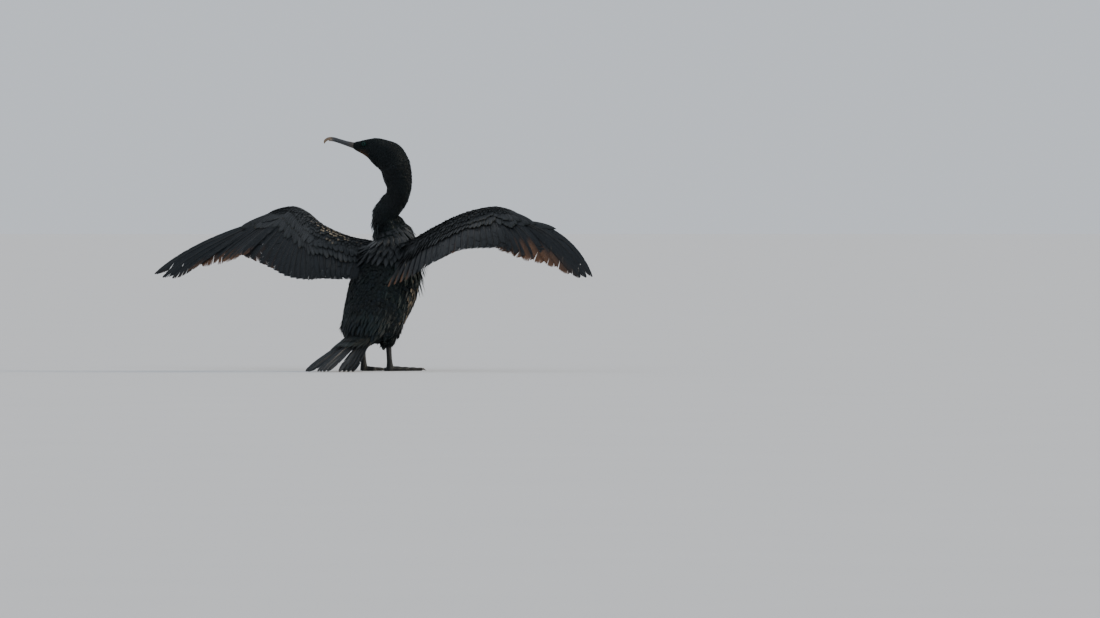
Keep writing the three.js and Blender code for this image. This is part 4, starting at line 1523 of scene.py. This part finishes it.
# Streaks of painted sunlight on the right flank, where the low sun lights its edge: their angle round the
# tube and where they start and end.
SUNLIT_FLANK_STREAKS = {"angle": 193, "turn": 13, "from": (1.8, 2.6), "to": (4.8, 5.4), "share": 0.75}
# Naked skin: rows at the bill, a radius round the eye, and where the gape starts and how high.
BARE = {"bill_row": 19.75, "face_row": 15, "eye": 6.0, "gape": 47, "gape_up": 24}


def bare(row, place):
    """Where the skin is naked: at the bill's root, round the eyes and below the gape."""
    offset = place - HEAD_ORIGIN
    forward, up, out = offset @ head_forward, offset[:, 2], offset @ head_left
    eye = (forward - EYE["forward"]) ** 2 + (up - EYE["up"]) ** 2 < BARE["eye"] ** 2
    edge = BARE["gape_up"] - 0.25 * np.abs(out) + (forward - BARE["gape"]) * 0.3
    gape = (forward > BARE["gape"]) & (up < edge)
    return (row > BARE["bill_row"]) | ((eye | gape) & (row > BARE["face_row"]))


def tube_patch(row, angle):
    """The bake patch's place for a row and an angle of the tube."""
    return columns(0.02 + 0.95 * (angle / (2 * np.pi) % 1), 0.02 + 0.95 * row / spine.last)


def body_rows(start, stop):
    """Places round the tube, spaced by the length of the feathers there."""
    rows, angles, row, odd = [], [], stop, 0
    while row > start:
        length = np.interp(row, *LENGTHS)
        size = girth.at(row)[0]
        around = math.pi * (size[0] + (size[1] + size[2]) / 2)
        count = max(int(around / (length * SPACING_ROUND)), 8)
        turn = (np.arange(count) + 0.5 * odd) / count * 2 * np.pi
        rows.append(np.full(count, row) + dice.normal(0, 0.03, count))
        angles.append(turn + dice.normal(0, 0.25 / count, count))
        step = float(np.linalg.norm(spine.at(row) - spine.at(row - 0.05)))
        row -= 0.05 * length * SPACING_ALONG / max(step, 0.1)
        odd = 1 - odd
    return np.concatenate(rows), np.concatenate(angles)


print("naked beyond row", BARE["bill_row"])

# %% Body, neck and head feathers


def plant_body(planting, start, stop, slim, lift, rough):
    row, angle = body_rows(start, stop)
    row = np.clip(row, 0.05, spine.last - 0.05)
    place, normal = seat(on_body(row, angle, -coat_depth(row)), 0.5)
    keep = ~bare(row, place)
    row, angle, place, normal = row[keep], angle[keep], place[keep], normal[keep]
    length = np.interp(row, *LENGTHS) * dice.uniform(0.8, 1.2, len(row))
    rise = (coat_depth(row) + 0.4) / length * lift
    tailward = -spine.slope(row) + dice.normal(0, rough, (len(row), 3))
    size = columns(length * slim, length, length * 0.03 + 0.35)
    tone = dice.uniform(np.interp(row, [7, 12], [0.25, 0.6]), 1)
    # Feathers in the sunlit streaks of the right flank get a tone above 1, which the finish paints as
    # sunlight.
    flank = np.exp(-((np.degrees(angle) % 360 - SUNLIT_FLANK_STREAKS["angle"]) / SUNLIT_FLANK_STREAKS["turn"]) ** 2)
    flank = flank * ease(*SUNLIT_FLANK_STREAKS["from"], row) * (1 - ease(*SUNLIT_FLANK_STREAKS["to"], row)) * SUNLIT_FLANK_STREAKS["share"]
    tone = np.where(dice.random(len(row)) < flank, dice.uniform(1.2, 1.9, len(row)), tone)
    aim = laid(tailward, normal, rise)
    shape = dice.integers(0, 4, len(row))
    planting.add(place, aim, normal, size, shape, tone, tube_patch(row, angle))


# Each coat's first and last row, shapes, slimness, lift and roughness.
COATS = (
    ("body_feathers", 0.2, 8.6, CONTOUR, 0.46, 0.7, 0.06),
    ("neck_feathers", 8.4, 14.0, SOFT, 0.46, 0.75, 0.09),
    ("head_feathers", 13.9, 19.98, HAIR, 0.5, 0.35, 0.06),
)
for piece, first_row, last_row, shapes, slim, lift, rough in COATS:
    coat = Planting()
    plant_body(coat, first_row, last_row, slim, lift, rough)
    coat.made(piece, shapes, BODY_FEATHERS, "plumage")

# %% [markdown]
# ## Back, thighs and tufts
# The feathers of the upper back are longer and pointed, grey with black edges, and spread over
# the shoulders. Slim ones run from the rump down onto the tail, and the thighs wear short
# trousers. Wet tufts stand away at the base of the neck and on the right flank, and ragged ones
# hang round the vent.

# %% Back and rump feathers
DOWN_TAIL = np.array([0, 0.72, -0.7])
SCAPULARS = {
    "rows": np.arange(5.2, 8.01, 0.28), "at": [5.2, 6.6, 8.0], "spread": [48, 62, 60],
    "count": [11, 15, 12], "droop": [0, 0, 0], "length": ([5.2, 7.2, 8.0], [38, 36, 26]),
    "stagger": 2, "jitter": 1.5, "drift": 0.04, "proud": -2.6, "outwards": 0.45, "tailward": 0,
    "rough": 0.05, "lift": 0.17, "slim": 0.32, "thick": 1.1, "tone": 0.35,
}
RUMP = {
    "rows": np.arange(0.7, 2.6, 0.17), "at": [0.7, 2.6], "spread": [62, 62],
    "count": [15, 21], "droop": [1.2, 0.1], "length": ([0.7, 2.6], [34, 24]),
    "stagger": 3, "jitter": 2, "drift": 0.03, "proud": -2.0, "outwards": 0, "tailward": 0.6,
    "rough": 0.06, "lift": 0.1, "slim": 0.22, "thick": 0.8, "tone": 1.0,
}


def plant_shingles(planting, kind):
    """Staggered rows across the back. What changes from row to row is given at a few rows."""
    for k, row in enumerate(kind["rows"]):
        spread, count, droop = (
            np.interp(row, kind["at"], kind[name]) for name in ("spread", "count", "droop")
        )
        count = int(count)
        fan = 90 + np.linspace(-spread, spread, count) + kind["stagger"] * (k % 2)
        angle = np.radians(fan + dice.normal(0, kind["jitter"], count))
        rows = row + dice.normal(0, kind["drift"], count)
        place, normal = seat(on_body(rows, angle, kind["proud"]), 0.6)
        way = X_AXIS * (np.cos(angle) * kind["outwards"])[:, None] + DOWN_TAIL * kind["tailward"]
        way = way - spine.slope(rows) + dice.normal(0, kind["rough"], (count, 3))
        aim = unit(laid(way, normal, kind["lift"]) + DOWN_TAIL * droop)
        length = np.interp(row, *kind["length"]) * dice.uniform(0.85, 1.12, count)
        size = columns(length * kind["slim"], length, kind["thick"])
        patch = columns(0.1 + 0.8 * (angle / (2 * np.pi) % 1), row / 20)
        shape, tone = dice.integers(0, 4, count), dice.random(count) * kind["tone"]
        planting.add(place, aim, normal, size, shape, tone, patch)


BACKS = (("back_feathers", SCAPULARS, COVERTS), ("rump_feathers", RUMP, BODY_FEATHERS))
for piece, kind, material in BACKS:
    shingles = Planting()
    plant_shingles(shingles, kind)
    shingles.made(piece, POINTED, material, "plumage")

# %% Thigh feathers
thighs = Planting()
for name, side in SIDES:
    for k, row in enumerate(np.arange(0.5, 3.95, 0.16)):
        count = 26 if row < 3 else 16
        angle = (np.arange(count) + 0.5 * (k % 2)) / count * 2 * np.pi
        rows = np.full(count, row)
        place = on_thigh(rows, angle, -1.2)
        normal = unit(place - thigh_line.at(rows))
        aim = unit(thigh_line.slope(rows) + normal * 0.12 + dice.normal(0, 0.08, (count, 3)))
        length = np.interp(row, [0, 3, 4], [17, 12, 7]) * dice.uniform(0.8, 1.2, count)
        size = columns(length * 0.4, length, 0.8)
        patch = columns(0.5 + 0.2 * side + 0.05 * np.cos(angle), 0.05 + row * 0.03)
        shape, tone = dice.integers(0, 4, count), dice.random(count)
        thighs.add(place, aim, normal, size, shape, tone, patch, side)
thighs.made("thigh_feathers", SOFT, BODY_FEATHERS, "plumage")

# %% Wet tufts


def plant_tufts(planting, rows, angles, length, stand, width=0.22):
    """Wet, pointed tufts that stand away from the coat."""
    count = len(rows)
    place, normal = seat(on_body(rows, angles, -3.0), 0.6)
    aim = laid(-spine.slope(rows) + dice.normal(0, 0.12, (count, 3)), normal, stand)
    long = length * dice.uniform(0.7, 1.25, count)
    size = columns(long * width, long, 0.9)
    shape, tone = dice.integers(0, 4, count), dice.random(count) * 0.5
    planting.add(place, aim, normal, size, shape, tone, tube_patch(rows, angles))


tufts = Planting()
plant_tufts(tufts, dice.uniform(7.5, 8.9, 60), dice.uniform(-0.5, 0.8, 60), 17, 0.45)
plant_tufts(tufts, dice.uniform(0.5, 1.9, 90), dice.uniform(0, 2 * np.pi, 90), 22, 0.34)
plant_tufts(tufts, dice.uniform(1.8, 6.2, 70), np.pi + dice.normal(0.0, 0.35, 70), 30, 0.16, 0.14)
plant_tufts(tufts, dice.uniform(4.4, 6.4, 90), np.pi + dice.normal(0.0, 0.4, 90), 34, 0.36, 0.13)
tufts.made("wet_tufts", POINTED, BODY_FEATHERS, "plumage")

# %% [markdown]
# ## Bill
# The bill is long, thin and hooked. Upper and lower halves are lofted from the same mouth line
# with a hair's gap between them. A groove runs along each side of the upper half to the hook, as
# on the real bird, whose nostrils are closed.

# %% Bill
MOUTH_GAP = 0.3
BILL_LAP = 1.6
BILL_STEPS = 22
bill_line = RowCurve([row[:2] for row in BILL_ROWS])
bill_size = RowCurve([row[2:] for row in BILL_ROWS])


def bill_half(name, last_row, column, up, node):
    rows = np.linspace(0, last_row, 64)
    place, size = bill_line.at(rows), bill_size.at(rows)
    face_slope = spine.slope(spine.last)[0]
    start_slope = np.array([face_slope @ head_forward, face_slope[2]])
    blend = ease(0, 0.5, rows)[:, None]
    slope = unit(start_slope * (1 - blend) + bill_line.slope(rows) * blend)
    place[0] = np.array(HEAD_ROWS[-1][:2]) - start_slope * BILL_LAP
    rise = np.column_stack([-slope[:, 1], slope[:, 0]]) * up
    angle = np.linspace(0, np.pi, BILL_STEPS)
    groove = 0.10 * np.exp(-((np.sin(angle) - 0.62) / 0.12) ** 2) if up > 0 else 0
    points = []
    for i, row in enumerate(rows):
        reach = ease(0.05, 0.4, row) * (1 - ease(3.2, 3.9, row))
        tall = np.sin(angle) ** 0.9 * size[i, column] * (1 - 0.3 * groove * reach) + MOUTH_GAP / 2
        wide = np.cos(angle) * size[i, 0] * (1 - groove * reach * 1.6)
        points.append(on_head(place[i, 0] + rise[i, 0] * tall, place[i, 1] + rise[i, 1] * tall, wide))
    made = new_object(name, np.vstack(points), loft_faces(len(rows), BILL_STEPS))
    return finished(outward(made), BILL, "bill", node)


bill_half("bill_upper_horn", bill_line.last, 1, 1, "bill_upper")
bill_half("bill_lower_horn", 4, 2, -1, "bill_lower")

# %% [markdown]
# ## Eyes
# Each eye is a ball set into the skin with only its front showing between the lids. The lid is a
# low ring of bare skin round it.

# %% Eyes and lids
LID = {"out": 2.9, "radius": 4.7, "fat": 0.85, "bead": 0.16, "beads": 20}


def ball(name, centre, radius, across=40, down=24):
    tilt, turn = np.linspace(0.02, np.pi - 0.02, down), circle(across)
    ring = np.stack([
        np.outer(np.sin(tilt), np.cos(turn)), np.outer(np.sin(tilt), np.sin(turn)),
        np.outer(np.cos(tilt), np.ones(across)),
    ], axis=-1)
    return outward(new_object(name, centre + ring.reshape(-1, 3) * radius, loft_faces(down, across)))


def lid(name, side):
    """A beaded ring of bare skin round the eye."""
    centre = on_head(EYE["forward"], EYE["up"], (EYE["out"] + LID["out"]) * side)
    around = circle(10)[:, None]
    points = []
    for angle in circle(48):
        radial = head_forward * math.cos(angle) * 1.08 + Z_AXIS * math.sin(angle) * 0.92
        fat = LID["fat"] + LID["bead"] * math.sin(angle * LID["beads"])
        ring = radial * np.cos(around) + head_left * side * np.sin(around)
        points.append(centre + radial * LID["radius"] + ring * fat)
    sides, total = len(around), len(points) * len(around)
    faces = []
    for start in range(0, total, sides):
        for j in range(sides):
            a, b = start + j, start + (j + 1) % sides
            faces.append((a, (a + sides) % total, (b + sides) % total, b))
    return finished(outward(new_object(name, np.vstack(points), faces)), SKIN, "plumage")


for name, side in SIDES:
    centre = on_head(EYE["forward"], EYE["up"], EYE["out"] * side)
    finished(ball(f"eyeball_{name}", centre, EYE["radius"]), eye_finish(name), "eye", f"eye_{name}")
    lid(f"lid_{name}", side)

# %% [markdown]
# ## Legs and feet
# A cormorant's four toes are all joined by web. Shank, toes and web are lofted and melted into
# one skin, lie flat on the floor, and carry a row of scutes down the front and along each toe.

# %% Shank, toes and web
# Each toe's turn outwards, length and claw.
TOES = [(-58, 19, 6), (-26, 43, 9), (2, 62, 10), (26, 72, 9)]
TOE_ROOT = np.array([LEG_X, -2.0, 0.0])
SHANK_ROWS = [
    (LEG_X, 2, 53, 6.2, 7.4),
    (LEG_X, 1.5, 44, 4.6, 6.2),
    (LEG_X, 0, 28, 4.2, 6.0),
    (LEG_X, -2, 17, 4.8, 6.4),
    (LEG_X, -3, 8, 6.0, 7.8),
    (LEG_X, -3, 1.2, 6.0, 9.0),
]
# The web's rings: their share of the way from the heel to the edge, and their height.
WEB_RINGS = ((0.02, 2.6), (0.2, 2.3), (0.4, 2.1), (0.6, 1.9), (0.8, 1.7), (0.92, 1.5), (1.0, 1.1))
WEB_SCOOP = 0.13
FOOT_VOXEL = 0.0009


def ahead(turn):
    return np.array([math.sin(math.radians(turn)), -math.cos(math.radians(turn)), 0.0])


def rod(line, radii, sides=16):
    """Rings round a line, kept above the floor."""
    along = unit(np.gradient(line, axis=0))
    across = unit(np.column_stack([-along[:, 1], along[:, 0], np.zeros(len(line))]))
    points = ovals(line, across, np.cross(along, across), radii, radii, sides)
    return above_floor(points, 0.0), loft_faces(len(line), sides)


def toe_line(turn, length):
    share = np.linspace(0, 1, 26)
    place = TOE_ROOT + ahead(turn) * (share * length)[:, None]
    joints = 0.35 * np.cos(share * (length / 17) * 2 * np.pi)
    place[:, 2] = np.interp(share, [0, 0.35, 0.7, 1], [5, 3.6, 3, 2.6])
    radii = np.interp(share, [0, 0.35, 0.7, 1], [5, 4, 3.4, 2.7]) + joints * np.minimum(1, share * 6)
    return place, radii


def web_surface():
    """A thin sheet from the heel of the foot to scooped edges between the toes."""
    heel = TOE_ROOT + np.array([0, 6.0, 0])
    tips = [TOE_ROOT + ahead(turn) * (length - 2) for turn, length, _ in TOES]
    edge = [tips[0]]
    for before, tip in zip(tips, tips[1:]):
        for share in np.linspace(0.1, 0.9, 9):
            scoop = WEB_SCOOP * math.sin(share * math.pi)
            edge.append((before * (1 - share) + tip * share) * (1 - scoop) + TOE_ROOT * scoop)
        edge.append(tip)
    edge = np.array(edge)
    under = [heel + (edge - heel) * share for share, _ in WEB_RINGS]
    top = [ring + Z_AXIS * high for ring, (_, high) in zip(under, WEB_RINGS)]
    wide, deep = len(edge), len(WEB_RINGS)
    half = deep * wide
    faces = []
    for i in range(deep - 1):
        for a in range(i * wide, i * wide + wide - 1):
            quad = (a, a + 1, a + 1 + wide, a + wide)
            faces += [quad, tuple(half + corner for corner in reversed(quad))]
    last = (deep - 1) * wide
    border = list(range(wide)) + [i * wide + wide - 1 for i in range(1, deep)]
    border += list(range(last + wide - 2, last - 1, -1)) + [i * wide for i in range(deep - 2, 0, -1)]
    for a, b in zip(border, border[1:] + border[:1]):
        faces.append((a, b, b + half, a + half))
    return np.vstack(top + under), faces


def shank_surface():
    curve, sizes = RowCurve([row[:3] for row in SHANK_ROWS]), RowCurve([row[3:] for row in SHANK_ROWS])
    rows = np.linspace(0, curve.last, 60)
    _, across, fore = limb_axes(curve, rows)
    wide, deep = sizes.at(rows).T
    points = ovals(curve.at(rows), across, fore, wide, deep, 24)
    return above_floor(points, 0.0), loft_faces(len(rows), 24)


print("longest toe", max(length for _, length, _ in TOES), "mm")

# %% Feet, scutes and claws
SCUTE_GAPS = {"toe": 2.6, "shank": 2.7}


def claw_line(turn, length, claw):
    share = np.linspace(0, 1, 12)
    place = TOE_ROOT + ahead(turn) * (length - 2 + share * (claw + 2))[:, None]
    place[:, 2] = np.interp(share, [0, 0.45, 1], [3.2, 3.7, 0.5])
    return place, np.interp(share, [0, 0.5, 1], [2.3, 1.7, 0.25])


scutes, claws = Planting(), []
for name, side in SIDES:
    parts = [shank_surface(), web_surface()]
    for turn, length, claw in TOES:
        line, radii = toe_line(turn, length)
        parts.append(rod(line, radii))
        claws.append(on_side(rod(*claw_line(turn, length, claw)), side))
        steps = np.arange(0.12, 0.97, SCUTE_GAPS["toe"] / length)
        place = TOE_ROOT + ahead(turn) * (steps * length)[:, None]
        place[:, 2] = np.interp(steps, np.linspace(0, 1, len(line)), line[:, 2] + radii) - 0.25
        size = columns(np.interp(steps, [0, 1], [6.6, 3.6]), 2.9, 0.7)
        patch = columns(0.1 + 0.8 * steps, 0.5 + 0.1 * side)
        aim = ahead(turn) - 0.03 * Z_AXIS
        scutes.add(place, aim, Z_AXIS, size, 0, dice.random(len(steps)), patch, side)
    foot = melted(f"leg_and_foot_{name}", [on_side(part, side) for part in parts], FOOT_VOXEL, 2)
    finished(foot, FOOT, "foot_skin", f"shank_{name}", f"foot_{name}")
    high = np.arange(8.0, 50.0, SCUTE_GAPS["shank"])
    place = columns(LEG_X, np.interp(high, [8, 28, 50], [-10.4, -6.2, -4.4]), high)
    tone, patch = dice.random(len(high)), columns(0.05, high / 60)
    scutes.add(place, (0, 0.06, -1.0), (0, -1.0, 0), (5.2, 3.1, 0.8), 0, tone, patch, side)
scutes.made("scutes", SCUTE, FOOT, "foot_skin")
finished(outward(new_object("claws", *joined(claws))), CLAW, "foot_skin")

# %% [markdown]
# ## Floor, light and camera
# The bird is seen from behind and a little to its right through a long lens, nearly level. It
# stands on a wide pale floor. One warm soft light comes low from the right, as the sun does in
# the photograph, and a weak cool one fills the near side.

# %% Camera
# Metres to a pixel of the photograph's frame at the bird.
PIXEL = 0.00185
PHOTO = (1100, 618)
FEET_PIXEL = (376, 371)
HORIZON_PIXEL = 185
VIEW_TURN = math.radians(210)
DISTANCE = 25.0
SENSOR = 36.0
towards_camera = Vector((math.sin(VIEW_TURN), -math.cos(VIEW_TURN), 0))
image_right = Vector((math.cos(VIEW_TURN), math.sin(VIEW_TURN), 0))


def studio_camera():
    feet = Vector(metres((0, 0, 0)))
    across = (PHOTO[0] / 2 - FEET_PIXEL[0]) * PIXEL
    above = (FEET_PIXEL[1] - PHOTO[1] / 2) * PIXEL
    aim = feet + image_right * across + Vector((0, 0, above))
    place = feet + image_right * across + towards_camera * DISTANCE
    place.z = (FEET_PIXEL[1] - HORIZON_PIXEL) * PIXEL
    lens = bpy.data.cameras.new("long_lens")
    lens.sensor_width = SENSOR
    lens.lens = SENSOR * DISTANCE / (PHOTO[0] * PIXEL)
    lens.clip_end = 200
    camera = shown("camera", lens)
    camera.location = place
    camera.rotation_euler = (aim - place).to_track_quat("-Z", "Y").to_euler()
    bpy.context.scene.camera = camera
    return camera


camera = studio_camera()
print("camera", tuple(round(c, 3) for c in camera.location))

# %% Floor and light
FLOOR_RADIUS = 70000


def studio_floor():
    """A wide pale disc, so that every view shows the same plain floor."""
    turn = circle(96)
    rim = columns(np.cos(turn), np.sin(turn), 0.0) * FLOOR_RADIUS
    floor = new_object("studio_floor", rim - CENTRING, [range(len(turn))])
    finish = Finish("pale_paper", Specular_IOR_Level=0.15)
    grain = finish.noise(3, 3)
    base = finish.mix(grain, (0.60, 0.61, 0.63), (0.63, 0.64, 0.66))
    finish.feed(Base_Color=base, Roughness=grain * 0.1 + 0.85)
    floor.data.materials.append(finish.material)
    floor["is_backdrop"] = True


def soft_sun(name, place, spread, power, colour):
    """Even light from one side, softened by a wide angle."""
    light = bpy.data.lights.new(name, "SUN")
    light.angle = math.radians(spread)
    light.energy = power
    light.color = colour
    made = shown(name, light)
    made.location = place
    made.rotation_euler = (-place).to_track_quat("-Z", "Y").to_euler()


studio_floor()
warm_from = image_right * 3 - towards_camera * 0.4 + Vector((0, 0, 1.3))
cool_from = image_right * 0.7 + towards_camera * 2.6 + Vector((0, 0, 1.6))
soft_sun("warm_low_light", warm_from, 14, 2.6, (1.0, 0.86, 0.66))
soft_sun("cool_fill", cool_from, 50, 0.75, (0.84, 0.93, 1.0))
world = bpy.data.worlds.new("soft_room")
bpy.context.scene.world = world
world.use_nodes = True
background = world.node_tree.nodes["Background"]
background.inputs["Color"].default_value = (0.80, 0.85, 0.92, 1)
background.inputs["Strength"].default_value = 0.85
print("lights", len(bpy.data.lights))

# %% Sizes, for comparison with the frame
visual_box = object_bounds()
sizes = {
    "cad": [list(corner) for corner in cad_box],
    "visual": [list(corner) for corner in visual_box],
}
for key, (low, high) in sizes.items():
    print(key, [round(v * 1000, 1) for v in low], [round(v * 1000, 1) for v in high])
